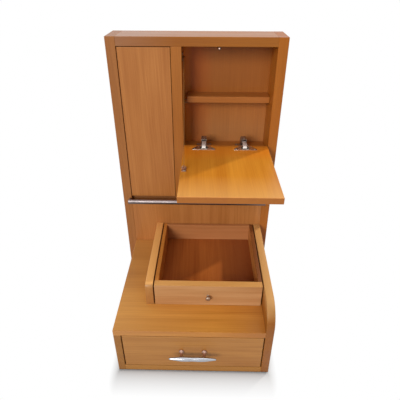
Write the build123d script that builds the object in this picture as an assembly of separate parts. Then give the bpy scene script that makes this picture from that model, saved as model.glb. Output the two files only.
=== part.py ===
from build123d import *
import os

# A tall, shallow cabinet with a door and a drop flap, standing behind a low step-shaped base.
# Millimetres. X runs left to right, Y from front to back, Z up from the floor.
# The pieces are drawn with the tall cabinet's front plane at y = 0 and its middle at x = 0.
# At the end they are all moved along Y, so that the origin is the middle of the footprint.

# ---- tall cabinet ----
cabinet_width = 450.0
cabinet_depth = 100.0
side_height = 778.0
side_thickness = 25.0
top_thickness = 22.5
back_thickness = 6.0
back_rebate = 8.0
divider_thickness = 27.0
divider_right_x = -37.5
door_bay_floor_top = 327.0
door_bay_floor_thickness = 16.0
door_bay_floor_setback = 14.0
flap_bay_floor_top = 472.0
flap_bay_floor_thickness = 18.0
lower_panel_thickness = 18.0
blind_panel_thickness = 16.0

# ---- shelf on four pins ----
shelf_top = 622.0
shelf_thickness = 17.0
shelf_depth = 48.0
shelf_end_gap = 0.5
chain_slot = 9.5
pin_radius = 2.5
pin_hole_depth = 9.0
pin_reach = 9.0
pin_inset = 12.0

# ---- base with the step ----
base_depth = 365.0
base_side_thickness = 18.0
base_bottom_thickness = 20.0
step_thickness = 18.0
step_top = 159.5
flank_thickness = 20.0
flank_height = 69.5
flank_corner_radius = 60.0
cheek_thickness = 20.0
cheek_corner_radius = 12.0

# ---- tray, the open upper drawer ----
tray_width = 280.0
tray_length = 275.0
tray_side_gap = 3.5
tray_back_gap = 2.0
tray_top_drop = 0.5
tray_front_thickness = 19.0
tray_side_thickness = 10.0
tray_back_thickness = 10.0
tray_bottom_thickness = 6.0
tray_floor_height = 14.5
groove_depth = 4.0
guide_width = 20.0
guide_end_gap = 20.0
guide_gap = 1.0
guide_roof_gap = 1.5
runner_width = 10.0
running_gap = 0.3

# ---- lower drawer ----
drawer_front_thickness = 18.0
drawer_side_gap = 3.0
drawer_edge_gap = 2.0
drawer_back_gap = 22.0
drawer_box_top_gap = 14.0
drawer_box_rise = 6.0
drawer_wall = 12.0
drawer_bottom_thickness = 6.0
drawer_bottom_rise = 8.0
slide_width = 12.6
slide_height = 35.0
slide_sheet = 1.2
slide_end_gap = 5.0
slide_lip = 11.0
slide_inner_reach = 9.4

# ---- swing panels: the drop flap and the door ----
panel_thickness = 16.0
panel_edge_gap = 2.0
panel_side_gap = 1.5
pivot_offset = 4.4
door_lock_gap = 1.3
door_lead_bevel = 7.0
door_top_gap = 1.6

# ---- concealed hinges ----
cup_edge_distance = 19.5
cup_radius = 13.0
cup_depth = 12.0
cup_wall = 1.0
flange_width = 64.0
flange_thickness = 1.2
flange_front = 33.0
flange_back = 2.0
flange_wing = 6.0
flange_neck = 24.0
flange_screw_side = 7.0
flange_screw_front = 5.8
link_width = 11.0
link_thickness = 3.0
link_head_radius = 3.5
link_pin_radius = 1.5
link_pin_distance = 14.0
link_pin_depth = 6.0
link_rise = 2.0
link_tail = 20.0
pin_clearance = 0.05
arm_front = 18.8
arm_side_gap = 0.7
arm_sheet = 1.2
arm_headroom = 8.4
arm_skirt = 4.5
arm_slope_start = 35.0
arm_level_end = 44.0
arm_foot_start = 46.0
arm_foot_height = 7.0
arm_end = 76.0
plate_height = 8.0
plate_length = 40.0
plate_end_gap = 2.4
plate_width = 44.0
plate_wing_height = 2.7
plate_wing_length = 16.0
plate_wing_inset = 8.0
plate_screw_inset = 4.8
flap_hinge_left_inset = 56.0
flap_hinge_right_inset = 64.0
door_hinge_inset = 78.0

# ---- chain stay ----
chain_radius = 1.2
eye_width = 12.0
eye_plate_length = 22.0
eye_sheet = 1.2
eye_height = 11.0
eye_hole_radius = 2.2
eye_screw_spacing = 14.0
chain_eye_inset = 8.5
chain_eye_distance = 152.0
anchor_y = 27.0
anchor_drop = 29.0
anchor_reach = 7.0
anchor_hole_radius = 1.5
chain_end_gap = 0.4

# ---- catches ----
catch_radius = 4.5
catch_length = 13.0
catch_drop = 6.8
catch_gap = 0.3
catch_neck = 4.5
catch_plate_width = 26.0
catch_plate_thickness = 1.5
catch_plate_setback = 1.0
catch_screw_spacing = 18.0
flap_catch_inset = 92.5
door_catch_inset = 20.0
strike_radius = 3.2
strike_thickness = 1.0
strike_proud = 0.2

# ---- rail across the front ----
rail_radius = 7.0
rail_standoff = 19.0
rail_clearance = 2.8
rail_overlap = 7.5
rail_post_radius = 3.5
rail_bolt_radius = 2.0
rail_bolt_length = 30.0

# ---- cleat handle ----
cleat_length = 120.0
cleat_belly_radius = 6.2
cleat_waist_radius = 5.6
cleat_belly_distance = 15.0
cleat_shoulder_radius = 6.0
cleat_tip_radius = 2.6
cleat_nose_radius = 1.2
cleat_standoff = 22.5
cleat_post_spacing = 58.6
cleat_post_radius = 3.6
cleat_foot_radius = 6.6
cleat_foot_length = 9.0
cleat_height = 82.5

# ---- knob of the tray ----
knob_head_radius = 6.5
knob_head_length = 6.5
knob_head_round = 2.4
knob_neck_radius = 3.2
knob_foot_radius = 4.6
knob_foot_length = 3.0
knob_reach = 14.5

# ---- machine screws that hold the pulls from behind ----
pull_screw_radius = 2.0
pull_screw_head_radius = 4.2
pull_screw_head = 2.4
pull_screw_depth = 12.0

# ---- small wood screws for the fittings ----
screw_head_radius = 3.2
screw_head = 0.8
screw_radius = 1.6
screw_length = 9.0

# ---- small hardware ----
glide_height = 2.5
glide_radius = 8.5
glide_chamfer = 0.8
glide_inset = 15.0
back_screw_head_radius = 3.6
back_screw_head = 1.6
back_screw_radius = 1.7
back_screw_length = 22.0
back_screw_rows = 4
back_screw_end_gap = 30.0
edge_ease = 0.8
overrun = 1.0

# ---- worked out from the sizes above ----
side_out_x = cabinet_width / 2
side_in_x = side_out_x - side_thickness
boards_bottom = glide_height
cabinet_top = boards_bottom + side_height
top_under = cabinet_top - top_thickness
back_front_y = cabinet_depth - back_thickness
divider_left_x = divider_right_x - divider_thickness
door_bay_floor_under = door_bay_floor_top - door_bay_floor_thickness
flap_bay_floor_under = flap_bay_floor_top - flap_bay_floor_thickness

base_front_y = -base_depth
step_under = step_top - step_thickness
flank_in_x = side_in_x - flank_thickness
flank_top = step_top + flank_height
base_left_in_x = -side_in_x + base_side_thickness
base_floor = boards_bottom + base_bottom_thickness

tray_right_x = flank_in_x - tray_side_gap
tray_left_x = tray_right_x - tray_width
cheek_in_x = tray_left_x - tray_side_gap
tray_back_y = -tray_back_gap
tray_front_y = tray_back_y - tray_length
tray_middle_x = (tray_left_x + tray_right_x) / 2
tray_under = step_top + running_gap
tray_top = flank_top - tray_top_drop
tray_floor = step_top + tray_floor_height
tray_floor_under = tray_floor - tray_bottom_thickness

drawer_left_x = base_left_in_x + drawer_side_gap
drawer_right_x = flank_in_x - drawer_side_gap
drawer_middle_x = (drawer_left_x + drawer_right_x) / 2
drawer_low = base_floor + drawer_edge_gap
drawer_high = step_under - drawer_edge_gap
box_left_x = base_left_in_x + slide_width
box_right_x = flank_in_x - slide_width
box_front_y = base_front_y + drawer_front_thickness
box_back_y = -drawer_back_gap
box_low = drawer_low + drawer_box_rise
box_high = drawer_high - drawer_box_top_gap
slide_z = (box_low + box_high) / 2
slide_front_y = box_front_y + drawer_edge_gap
slide_back_y = box_back_y - slide_end_gap

flap_left_x = divider_right_x + panel_side_gap
flap_right_x = side_in_x - panel_side_gap
flap_closed_low = flap_bay_floor_top + panel_edge_gap
flap_closed_high = top_under - panel_edge_gap
flap_length = flap_closed_high - flap_closed_low
flap_pivot_z = flap_closed_low + pivot_offset
flap_under = flap_pivot_z + pivot_offset
flap_face = flap_under + panel_thickness
flap_hinge_places = (flap_left_x + flap_hinge_left_inset, flap_right_x - flap_hinge_right_inset)
flap_catch_x = flap_left_x + flap_catch_inset

door_left_x = -side_in_x + panel_edge_gap
door_right_x = divider_left_x - door_lock_gap
door_low = door_bay_floor_top + panel_edge_gap
door_high = top_under - door_top_gap
door_hinge_places = (door_high - door_hinge_inset, door_low + door_hinge_inset)
door_catch_x = door_right_x - door_catch_inset
catch_z = top_under - catch_drop

# heights above the carcass board that a hinge is screwed to, with the panel open
open_face = panel_edge_gap + 2 * pivot_offset + panel_thickness
pivot_v = panel_edge_gap + pivot_offset
link_pin_v = open_face - link_pin_depth
link_pin_arm_u = pivot_offset - link_pin_distance
link_pin_arm_v = link_pin_v - pivot_v
link_shift_u = link_pin_arm_v - link_pin_arm_u
link_shift_v = -link_pin_arm_u - link_pin_arm_v
arm_top = open_face + arm_headroom + arm_sheet
arm_half = link_width / 2 + arm_side_gap + arm_sheet
plate_end = arm_end + plate_end_gap

rail_z = door_low - rail_clearance - rail_radius
rail_half = side_in_x + rail_overlap
rail_post_x = rail_half - rail_post_radius
cleat_z = boards_bottom + cleat_height
cleat_y = base_front_y - cleat_standoff
knob_z = (tray_under + tray_top) / 2
knob_inner_y = tray_front_y + tray_front_thickness
chain_eye_x = flap_left_x + chain_eye_inset
eye_y = -chain_eye_distance
eye_ring_z = flap_face + eye_height - eye_hole_radius - eye_sheet
anchor_x = divider_right_x + anchor_reach - anchor_hole_radius - eye_sheet
anchor_z = top_under - anchor_drop

foremost_y = cleat_y - cleat_belly_radius
footprint_middle_y = (foremost_y + cabinet_depth) / 2
SIDES = (-1, 1)


def block(x0, x1, y0, y1, z0, z1):
    """A plain box between two corners."""
    middle = Pos((x0 + x1) / 2, (y0 + y1) / 2, (z0 + z1) / 2)
    return middle * Box(x1 - x0, y1 - y0, z1 - z0)


def board(x0, x1, y0, y1, z0, z1):
    """A sawn board with its sharp corners taken off."""
    plain = block(x0, x1, y0, y1, z0, z1)
    return fillet(plain.edges(), edge_ease)


def rod(start, end, radius):
    """A round bar from one point to another."""
    run = Vector(*end) - Vector(*start)
    plane = Plane(origin=start, z_dir=run)
    return plane * Cylinder(radius, run.length, align=(Align.CENTER, Align.CENTER, Align.MIN))


def cone_rod(start, end, start_radius, end_radius):
    """A round bar that tapers from one radius to another."""
    run = Vector(*end) - Vector(*start)
    plane = Plane(origin=start, z_dir=run)
    return plane * Cone(start_radius, end_radius, run.length, align=(Align.CENTER, Align.CENTER, Align.MIN))


def prism_x(outline, x0, x1):
    """A side outline, as (y, z) points, drawn out along X from x0 to x1."""
    face = make_face(Polyline(*[(x0, y, z) for y, z in outline], close=True))
    return extrude(face, amount=x1 - x0, dir=(1, 0, 0))


def drilled(piece, fasteners):
    """A piece with the room of its fasteners taken out of it."""
    for fastener in fasteners:
        piece -= fastener
    return piece


def group(solids):
    """Several like pieces kept as separate solids in one file."""
    return Compound(children=list(solids))


def wood_screw(seat, way):
    """A small screw with its head on a face at the seat and its shank running in along the way."""
    seat = Vector(*seat)
    way = Vector(*way)
    head = rod(tuple(seat), tuple(seat - way * screw_head), screw_head_radius)
    shank = rod(tuple(seat), tuple(seat + way * screw_length), screw_radius)
    return head + shank


def pull_screw(x, z, inner_y, outer_y):
    """A screw from inside a front, through it and into the pull on its outer face."""
    head = rod((x, inner_y, z), (x, inner_y + pull_screw_head, z), pull_screw_head_radius)
    shank = rod((x, inner_y, z), (x, outer_y - pull_screw_depth, z), pull_screw_radius)
    return head + shank


def front_corner_edge(solid):
    """The upper front edge of an upright board that stands along Y."""
    across = solid.edges().filter_by(Axis.X)
    return sorted(across, key=lambda edge: (edge.center().Y, -edge.center().Z))[0]


def rounded_flank(x0, x1, y0, y1, z0, z1, radius):
    """An upright board with a large round at its upper front corner and eased side edges."""
    plain = block(x0, x1, y0, y1, z0, z1)
    turned = fillet(front_corner_edge(plain), radius)
    left = turned.faces().sort_by(Axis.X)[0]
    right = turned.faces().sort_by(Axis.X)[-1]
    return fillet(left.edges() + right.edges(), edge_ease)


# ---- tall cabinet ----
def back_space():
    """The room that the back panel takes out of the sides and the top."""
    half = side_in_x + back_rebate
    return block(-half, half, back_front_y, cabinet_depth, boards_bottom, top_under + back_rebate)


def shelf_pin_places():
    """Centre lines of the four shelf pins: the wall each sits in, the way it points, its depth."""
    z = shelf_top - shelf_thickness - pin_radius
    places = []
    for y in (back_front_y - shelf_depth + pin_inset, back_front_y - pin_inset):
        places.append((divider_right_x, 1, chain_slot, y, z))
        places.append((side_in_x, -1, shelf_end_gap, y, z))
    return places


def shelf_pin(wall_x, way, gap, y, z):
    start = (wall_x - way * pin_hole_depth, y, z)
    end = (wall_x + way * (gap + pin_reach), y, z)
    return rod(start, end, pin_radius)


def pins_in(wall_x):
    return [shelf_pin(*place) for place in shelf_pin_places() if place[0] == wall_x]


def back_screw_places():
    """Points down both sides of the back panel where it is screwed on."""
    x = side_in_x + back_rebate / 2
    low = boards_bottom + back_screw_end_gap
    high = top_under - back_screw_end_gap
    step = (high - low) / (back_screw_rows - 1)
    return [(side * x, low + row * step) for side in (-1, 1) for row in range(back_screw_rows)]


def back_screw(x, z):
    head = rod((x, cabinet_depth - back_screw_head, z), (x, cabinet_depth, z), back_screw_head_radius)
    shank = rod((x, cabinet_depth - back_screw_length, z), (x, cabinet_depth, z), back_screw_radius)
    return head + shank


def back_screw_set():
    return [back_screw(x, z) for x, z in back_screw_places()]


def side_panel(side):
    x0, x1 = sorted((side * side_in_x, side * side_out_x))
    panel = board(x0, x1, 0, cabinet_depth, boards_bottom, cabinet_top)
    panel -= back_space()
    panel -= rail_bolt(side)
    panel = drilled(panel, back_screw_set())
    if side > 0:
        panel = drilled(panel, pins_in(side_in_x))
    else:
        panel = drilled(panel, door_plate_screws())
    return panel


def top_board():
    plank = board(-side_in_x, side_in_x, 0, cabinet_depth, top_under, cabinet_top) - back_space()
    return drilled(plank, catch_screws(flap_catch_x) + catch_screws(door_catch_x))


def back_panel():
    return drilled(back_space(), back_screw_set())


def divider():
    post = board(divider_left_x, divider_right_x, 0, back_front_y, door_bay_floor_top, top_under)
    return drilled(post, pins_in(divider_right_x) + anchor_screws())


def flap_bay_floor():
    plank = board(divider_right_x, side_in_x, 0, back_front_y, flap_bay_floor_under, flap_bay_floor_top)
    return drilled(plank, flap_plate_screws())


def door_bay_floor():
    return board(-side_in_x, side_in_x, door_bay_floor_setback, back_front_y,
                 door_bay_floor_under, door_bay_floor_top)


def blind_panel():
    return board(divider_right_x, side_in_x, 0, blind_panel_thickness,
                 door_bay_floor_top, flap_bay_floor_under)


def lower_panel():
    return board(-side_in_x, side_in_x, 0, lower_panel_thickness, boards_bottom, door_bay_floor_under)


def flap_bay_shelf():
    return board(divider_right_x + chain_slot, side_in_x - shelf_end_gap, back_front_y - shelf_depth,
                 back_front_y, shelf_top - shelf_thickness, shelf_top)


# ---- base ----
def base_side_left():
    return board(-side_in_x, base_left_in_x, base_front_y, 0, boards_bottom, step_under)


def base_side_right():
    return rounded_flank(flank_in_x, side_in_x, base_front_y, 0, boards_bottom, flank_top,
                         flank_corner_radius)


def base_bottom():
    return board(base_left_in_x, flank_in_x, base_front_y, 0, boards_bottom, base_floor)


def step_board():
    return board(-side_in_x, flank_in_x, base_front_y, 0, step_under, step_top)


def tray_cheek():
    return rounded_flank(cheek_in_x - cheek_thickness, cheek_in_x, tray_front_y, 0, step_top, flank_top,
                         cheek_corner_radius)


def tray_guide():
    """Strip on the step board that keeps the tray straight."""
    half = guide_width / 2
    return block(tray_middle_x - half, tray_middle_x + half,
                 tray_front_y + tray_front_thickness + guide_end_gap, tray_back_y - guide_end_gap,
                 step_top, tray_floor_under - guide_roof_gap)


def glide_places():
    """Middle of each glide: two under the base, four under the tall sides."""
    tall_x = side_out_x - side_thickness / 2
    front = [(-side_in_x + base_side_thickness / 2, base_front_y + glide_inset),
             (side_in_x - flank_thickness / 2, base_front_y + glide_inset)]
    tall = [(side * tall_x, y) for side in (-1, 1) for y in (glide_inset, cabinet_depth - glide_inset)]
    return front + tall


def glides():
    discs = [rod((x, y, 0), (x, y, glide_height), glide_radius) for x, y in glide_places()]
    return group(chamfer(disc.edges().group_by(Axis.Z)[0], glide_chamfer) for disc in discs)


# ---- rail across the front ----
def rail_bar():
    return rod((-rail_half, -rail_standoff, rail_z), (rail_half, -rail_standoff, rail_z), rail_radius)


def front_rail():
    return chamfer(rail_bar().edges().filter_by(GeomType.CIRCLE), edge_ease)


def rail_post(side):
    x = side * rail_post_x
    return rod((x, 0, rail_z), (x, -rail_standoff, rail_z), rail_post_radius) - rail_bar()


def rail_bolt(side):
    x = side * rail_post_x
    return rod((x, 0, rail_z), (x, rail_bolt_length, rail_z), rail_bolt_radius)


# ---- concealed hinge, drawn with its panel open, its carcass board at z = 0 and its middle at x = 0 ----
def hinge_cup():
    """Cup, flange and link pin of one hinge, in the panel's open place."""
    middle = -cup_edge_distance
    shell = rod((0, middle, open_face - cup_depth), (0, middle, open_face), cup_radius)
    half = flange_width / 2
    neck = flange_neck / 2
    outline = [(-half, -flange_front), (half, -flange_front), (half, -flange_front + flange_wing),
               (neck, -flange_back), (-neck, -flange_back), (-half, -flange_front + flange_wing)]
    plate = make_face(Polyline(*[(x, y, open_face) for x, y in outline], close=True))
    flange = extrude(plate, amount=flange_thickness, dir=(0, 0, 1))
    hollow = rod((0, middle, open_face - cup_depth + cup_wall),
                 (0, middle, open_face + flange_thickness), cup_radius - cup_wall)
    pin = rod((-cup_radius, -link_pin_distance, link_pin_v), (cup_radius, -link_pin_distance, link_pin_v),
              link_pin_radius)
    cup = shell + flange - hollow + (pin & shell)
    return drilled(cup, hinge_cup_screws())


def hinge_cup_screws():
    """Two screws through the wings of the flange."""
    x = flange_width / 2 - flange_screw_side
    y = -flange_front + flange_screw_front
    return [wood_screw((side * x, y, open_face + flange_thickness), (0, 0, -1)) for side in SIDES]


def hinge_link():
    """The swan-necked link that leaves the cup over the panel's edge and runs into the arm."""
    pin_y = -link_pin_distance
    face = open_face
    back = pin_y + link_head_radius
    front = pin_y - link_head_radius
    under = face + link_rise
    over = under + link_thickness
    outline = [(back, link_pin_v), (back, face), (back + link_rise, under), (link_tail, under),
               (link_tail, over), (back, over), (front, face), (front, link_pin_v)]
    half = link_width / 2
    neck = prism_x(outline, -half, half)
    head = rod((-half, pin_y, link_pin_v), (half, pin_y, link_pin_v), link_head_radius)
    hole = rod((-link_width, pin_y, link_pin_v), (link_width, pin_y, link_pin_v),
               link_pin_radius + pin_clearance)
    return neck + head - hole


def hinge_arm():
    """A folded channel, open below and in front, that takes the tail of the link."""
    low = open_face - arm_skirt
    foot_top = plate_height + arm_foot_height
    roof = arm_top - arm_sheet
    outer = [(arm_front, low), (arm_front, arm_top), (arm_level_end, arm_top), (arm_end, foot_top),
             (arm_end, plate_height), (arm_foot_start, plate_height), (arm_slope_start, low)]
    inner = [(arm_front - overrun, plate_height - overrun), (arm_front - overrun, roof),
             (arm_level_end, roof), (arm_end - arm_sheet, foot_top - arm_sheet),
             (arm_end - arm_sheet, plate_height - overrun)]
    return prism_x(outer, -arm_half, arm_half) - prism_x(inner, arm_sheet - arm_half, arm_half - arm_sheet)


def hinge_plate():
    """The plate that is screwed to the carcass board and carries the arm."""
    wing_end = plate_end - plate_wing_inset
    wings = block(-plate_width / 2, plate_width / 2, wing_end - plate_wing_length, wing_end,
                  0, plate_wing_height)
    saddle = block(-arm_half, arm_half, plate_end - plate_length, plate_end, 0, plate_height)
    return drilled(saddle + wings, hinge_plate_screws())


def hinge_plate_screws():
    """Two screws through the wings of the plate."""
    x = plate_width / 2 - plate_screw_inset
    y = plate_end - plate_wing_inset - plate_wing_length / 2
    return [wood_screw((side * x, y, plate_wing_height), (0, 0, -1)) for side in SIDES]


def swing_shut(solid):
    """Turn a piece of an open hinge panel by the quarter turn that shuts it."""
    pivot = Axis((0, -pivot_offset, pivot_v), (1, 0, 0))
    return solid.rotate(pivot, -90)


def on_flap(solid, hinge_x):
    return Pos(hinge_x, 0, flap_bay_floor_top) * solid


def on_door(solid, hinge_z):
    return Pos(-side_in_x, 0, hinge_z) * Rot(0, 90, 0) * solid


def cup_bore():
    """Room for a cup and its screws in the face of a panel."""
    middle = -cup_edge_distance
    bore = rod((0, middle, open_face - cup_depth), (0, middle, open_face), cup_radius)
    return [bore] + hinge_cup_screws()


def flap_plate_screws():
    return [on_flap(screw, x) for x in flap_hinge_places for screw in hinge_plate_screws()]


def door_plate_screws():
    return [on_door(screw, z) for z in door_hinge_places for screw in hinge_plate_screws()]


# ---- drop flap, drawn open ----
def flap_panel():
    panel = board(flap_left_x, flap_right_x, -flap_length, 0, flap_under, flap_face)
    bores = [on_flap(cut, x) for x in flap_hinge_places for cut in cup_bore()]
    return drilled(panel, bores + eye_screws() + [flap_strike()])


def flap_strike():
    """Disc let into the flap's inner face, where the catch meets it."""
    y = flap_closed_low - catch_z
    return rod((flap_catch_x, y, flap_face - strike_thickness), (flap_catch_x, y, flap_face + strike_proud),
               strike_radius)


def chain_eye():
    """Small angle bracket that holds the chain on the flap's inner face."""
    half = eye_width / 2
    x0 = chain_eye_x - half
    x1 = chain_eye_x + half
    foot = block(x0, x1, eye_y - eye_plate_length / 2, eye_y + eye_plate_length / 2,
                 flap_face, flap_face + eye_sheet)
    tab = block(x0, x1, eye_y - eye_sheet / 2, eye_y + eye_sheet / 2, flap_face, flap_face + eye_height)
    hole = rod((chain_eye_x, eye_y - eye_height, eye_ring_z), (chain_eye_x, eye_y + eye_height, eye_ring_z),
               eye_hole_radius)
    return drilled(foot + tab - hole, eye_screws())


def eye_screws():
    half = eye_screw_spacing / 2
    return [wood_screw((chain_eye_x, eye_y + side * half, flap_face + eye_sheet), (0, 0, -1))
            for side in SIDES]


def chain_anchor():
    """Small angle bracket that holds the chain on the divider."""
    half = eye_width / 2
    foot_half = eye_plate_length / 2
    foot = block(divider_right_x, divider_right_x + eye_sheet, anchor_y - half, anchor_y + half,
                 anchor_z - foot_half, anchor_z + foot_half)
    tab = block(divider_right_x, divider_right_x + anchor_reach, anchor_y - half, anchor_y + half,
                anchor_z - eye_sheet / 2, anchor_z + eye_sheet / 2)
    hole = rod((anchor_x, anchor_y, anchor_z - half), (anchor_x, anchor_y, anchor_z + half),
               anchor_hole_radius)
    return drilled(foot + tab - hole, anchor_screws())


def anchor_screws():
    half = eye_screw_spacing / 2
    return [wood_screw((divider_right_x + eye_sheet, anchor_y, anchor_z + side * half), (-1, 0, 0))
            for side in SIDES]


def flap_chain():
    """The stay chain as a thin straight bar between its two brackets."""
    top = Vector(anchor_x, anchor_y, anchor_z - eye_sheet / 2)
    foot = Vector(chain_eye_x, eye_y + eye_sheet / 2, eye_ring_z)
    way = (foot - top).normalized()
    clear = chain_end_gap + chain_radius
    return rod(tuple(top + way * clear), tuple(foot - way * clear), chain_radius)


# ---- catches ----
def catch_face_y():
    return panel_thickness + strike_proud + catch_gap


def catch(x):
    """Magnet in a small cup under the top board, just behind a shut panel."""
    face_y = catch_face_y()
    end_y = face_y + catch_length
    magnet = rod((x, face_y, catch_z), (x, end_y, catch_z), catch_radius)
    plate = block(x - catch_plate_width / 2, x + catch_plate_width / 2, face_y + catch_plate_setback, end_y,
                  top_under - catch_plate_thickness, top_under)
    neck = block(x - catch_neck / 2, x + catch_neck / 2, face_y + catch_plate_setback, end_y,
                 catch_z, top_under)
    return drilled(plate + neck + magnet, catch_screws(x))


def catch_screws(x):
    half = catch_screw_spacing / 2
    y = catch_face_y() + (catch_plate_setback + catch_length) / 2
    return [wood_screw((x + side * half, y, top_under - catch_plate_thickness), (0, 0, 1)) for side in SIDES]


# ---- door, drawn shut ----
def door_panel():
    """The inner edge on the lock side is bevelled, so that it clears the divider as the door swings."""
    plain = block(door_left_x, door_right_x, 0, panel_thickness, door_low, door_high)
    lock_edges = plain.edges().filter_by(Axis.Z).group_by(Axis.X)[-1]
    bevelled = chamfer(lock_edges.sort_by(Axis.Y)[-1], door_lead_bevel)
    panel = fillet(bevelled.edges(), edge_ease)
    bores = [on_door(swing_shut(cut), z) for z in door_hinge_places for cut in cup_bore()]
    return drilled(panel, bores + [door_strike()])


def door_strike():
    return rod((door_catch_x, panel_thickness - strike_thickness, catch_z),
               (door_catch_x, panel_thickness + strike_proud, catch_z), strike_radius)


# ---- tray ----
def tray_bottom():
    return block(tray_left_x + tray_side_thickness - groove_depth,
                 tray_right_x - tray_side_thickness + groove_depth,
                 tray_front_y + tray_front_thickness - groove_depth, tray_back_y,
                 tray_floor_under, tray_floor)


def tray_front():
    front = board(tray_left_x, tray_right_x, tray_front_y, tray_front_y + tray_front_thickness,
                  tray_under, tray_top)
    return drilled(front, [tray_bottom(), tray_knob_screw()])


def tray_side(side):
    x0 = tray_left_x if side < 0 else tray_right_x - tray_side_thickness
    wall = board(x0, x0 + tray_side_thickness, tray_front_y + tray_front_thickness, tray_back_y,
                 tray_under, tray_top)
    return wall - tray_bottom()


def tray_back():
    return board(tray_left_x + tray_side_thickness, tray_right_x - tray_side_thickness,
                 tray_back_y - tray_back_thickness, tray_back_y, tray_floor, tray_top)


def tray_runner(side):
    inner = tray_middle_x + side * (guide_width / 2 + guide_gap)
    x0, x1 = sorted((inner, inner + side * runner_width))
    return block(x0, x1, tray_front_y + tray_front_thickness, tray_back_y, tray_under, tray_floor_under)


# ---- knob in the middle of the tray front ----
def tray_knob():
    """A small turned knob: spreading foot, slim neck and a rounded head."""
    foot_y = tray_front_y - knob_foot_length
    end_y = tray_front_y - knob_reach
    head_y = end_y + knob_head_length
    foot = cone_rod((tray_middle_x, tray_front_y, knob_z), (tray_middle_x, foot_y, knob_z),
                    knob_foot_radius, knob_neck_radius)
    neck = rod((tray_middle_x, foot_y, knob_z), (tray_middle_x, head_y, knob_z), knob_neck_radius)
    head = rod((tray_middle_x, head_y, knob_z), (tray_middle_x, end_y, knob_z), knob_head_radius)
    head = fillet(head.edges().filter_by(GeomType.CIRCLE), knob_head_round)
    return foot + neck + head - tray_knob_screw()


def tray_knob_screw():
    return pull_screw(tray_middle_x, knob_z, knob_inner_y, tray_front_y)


# ---- lower drawer ----
def drawer_bottom():
    low = box_low + drawer_bottom_rise
    return block(box_left_x + drawer_wall - groove_depth, box_right_x - drawer_wall + groove_depth,
                 box_front_y - groove_depth, box_back_y, low, low + drawer_bottom_thickness)


def drawer_front():
    front = board(drawer_left_x, drawer_right_x, base_front_y, box_front_y, drawer_low, drawer_high)
    return drilled(front, [drawer_bottom()] + cleat_screw_set())


def drawer_side(side):
    x0 = box_left_x if side < 0 else box_right_x - drawer_wall
    wall = board(x0, x0 + drawer_wall, box_front_y, box_back_y, box_low, box_high)
    return wall - drawer_bottom()


def drawer_back():
    low = box_low + drawer_bottom_rise + drawer_bottom_thickness
    return board(box_left_x + drawer_wall, box_right_x - drawer_wall, box_back_y - drawer_wall, box_back_y,
                 low, box_high)


def slide_channel(side):
    """Outer member of a drawer slide, screwed to the base."""
    wall_x = base_left_in_x if side < 0 else flank_in_x
    half = slide_height / 2
    way = -side
    x0, x1 = sorted((wall_x, wall_x + way * slide_lip))
    outer = block(x0, x1, slide_front_y, slide_back_y, slide_z - half, slide_z + half)
    i0, i1 = sorted((wall_x + way * slide_sheet, wall_x + way * (slide_lip + overrun)))
    inner = block(i0, i1, slide_front_y - overrun, slide_back_y + overrun,
                  slide_z - half + slide_sheet, slide_z + half - slide_sheet)
    return outer - inner


def slide_member(side):
    """Inner member of a drawer slide, screwed to the drawer box."""
    box_x = box_left_x if side < 0 else box_right_x
    half = slide_height / 2 - slide_sheet - running_gap
    way = side
    x0, x1 = sorted((box_x, box_x + way * slide_inner_reach))
    outer = block(x0, x1, slide_front_y, slide_back_y, slide_z - half, slide_z + half)
    i0, i1 = sorted((box_x + way * slide_sheet, box_x + way * (slide_inner_reach + overrun)))
    inner = block(i0, i1, slide_front_y - overrun, slide_back_y + overrun,
                  slide_z - half + slide_sheet, slide_z + half - slide_sheet)
    return outer - inner


# ---- cleat handle ----
def cleat_bar():
    """Two tapering horns on one bar, round in section and a little thinner in the middle."""
    half = cleat_length / 2
    shoulder = cleat_post_spacing / 2
    outline = [(0, 0), (0, cleat_waist_radius), (cleat_belly_distance, cleat_belly_radius),
               (shoulder, cleat_shoulder_radius), (half - cleat_tip_radius, cleat_tip_radius),
               (half, cleat_nose_radius), (half, 0)]
    face = make_face(Polyline(*[(x, 0, radius) for x, radius in outline], close=True))
    horn = revolve(face, Axis.X)
    return Pos(drawer_middle_x, cleat_y, cleat_z) * (horn + mirror(horn, Plane.YZ))


def cleat_post(side):
    x = drawer_middle_x + side * cleat_post_spacing / 2
    waist_y = base_front_y - cleat_foot_length
    foot = cone_rod((x, base_front_y, cleat_z), (x, waist_y, cleat_z), cleat_foot_radius, cleat_post_radius)
    stem = rod((x, waist_y, cleat_z), (x, cleat_y, cleat_z), cleat_post_radius)
    return drilled(foot + stem - cleat_bar(), cleat_screw_set())


def cleat_screw_set():
    places = [drawer_middle_x + side * cleat_post_spacing / 2 for side in SIDES]
    return [pull_screw(x, cleat_z, box_front_y, base_front_y) for x in places]


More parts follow.
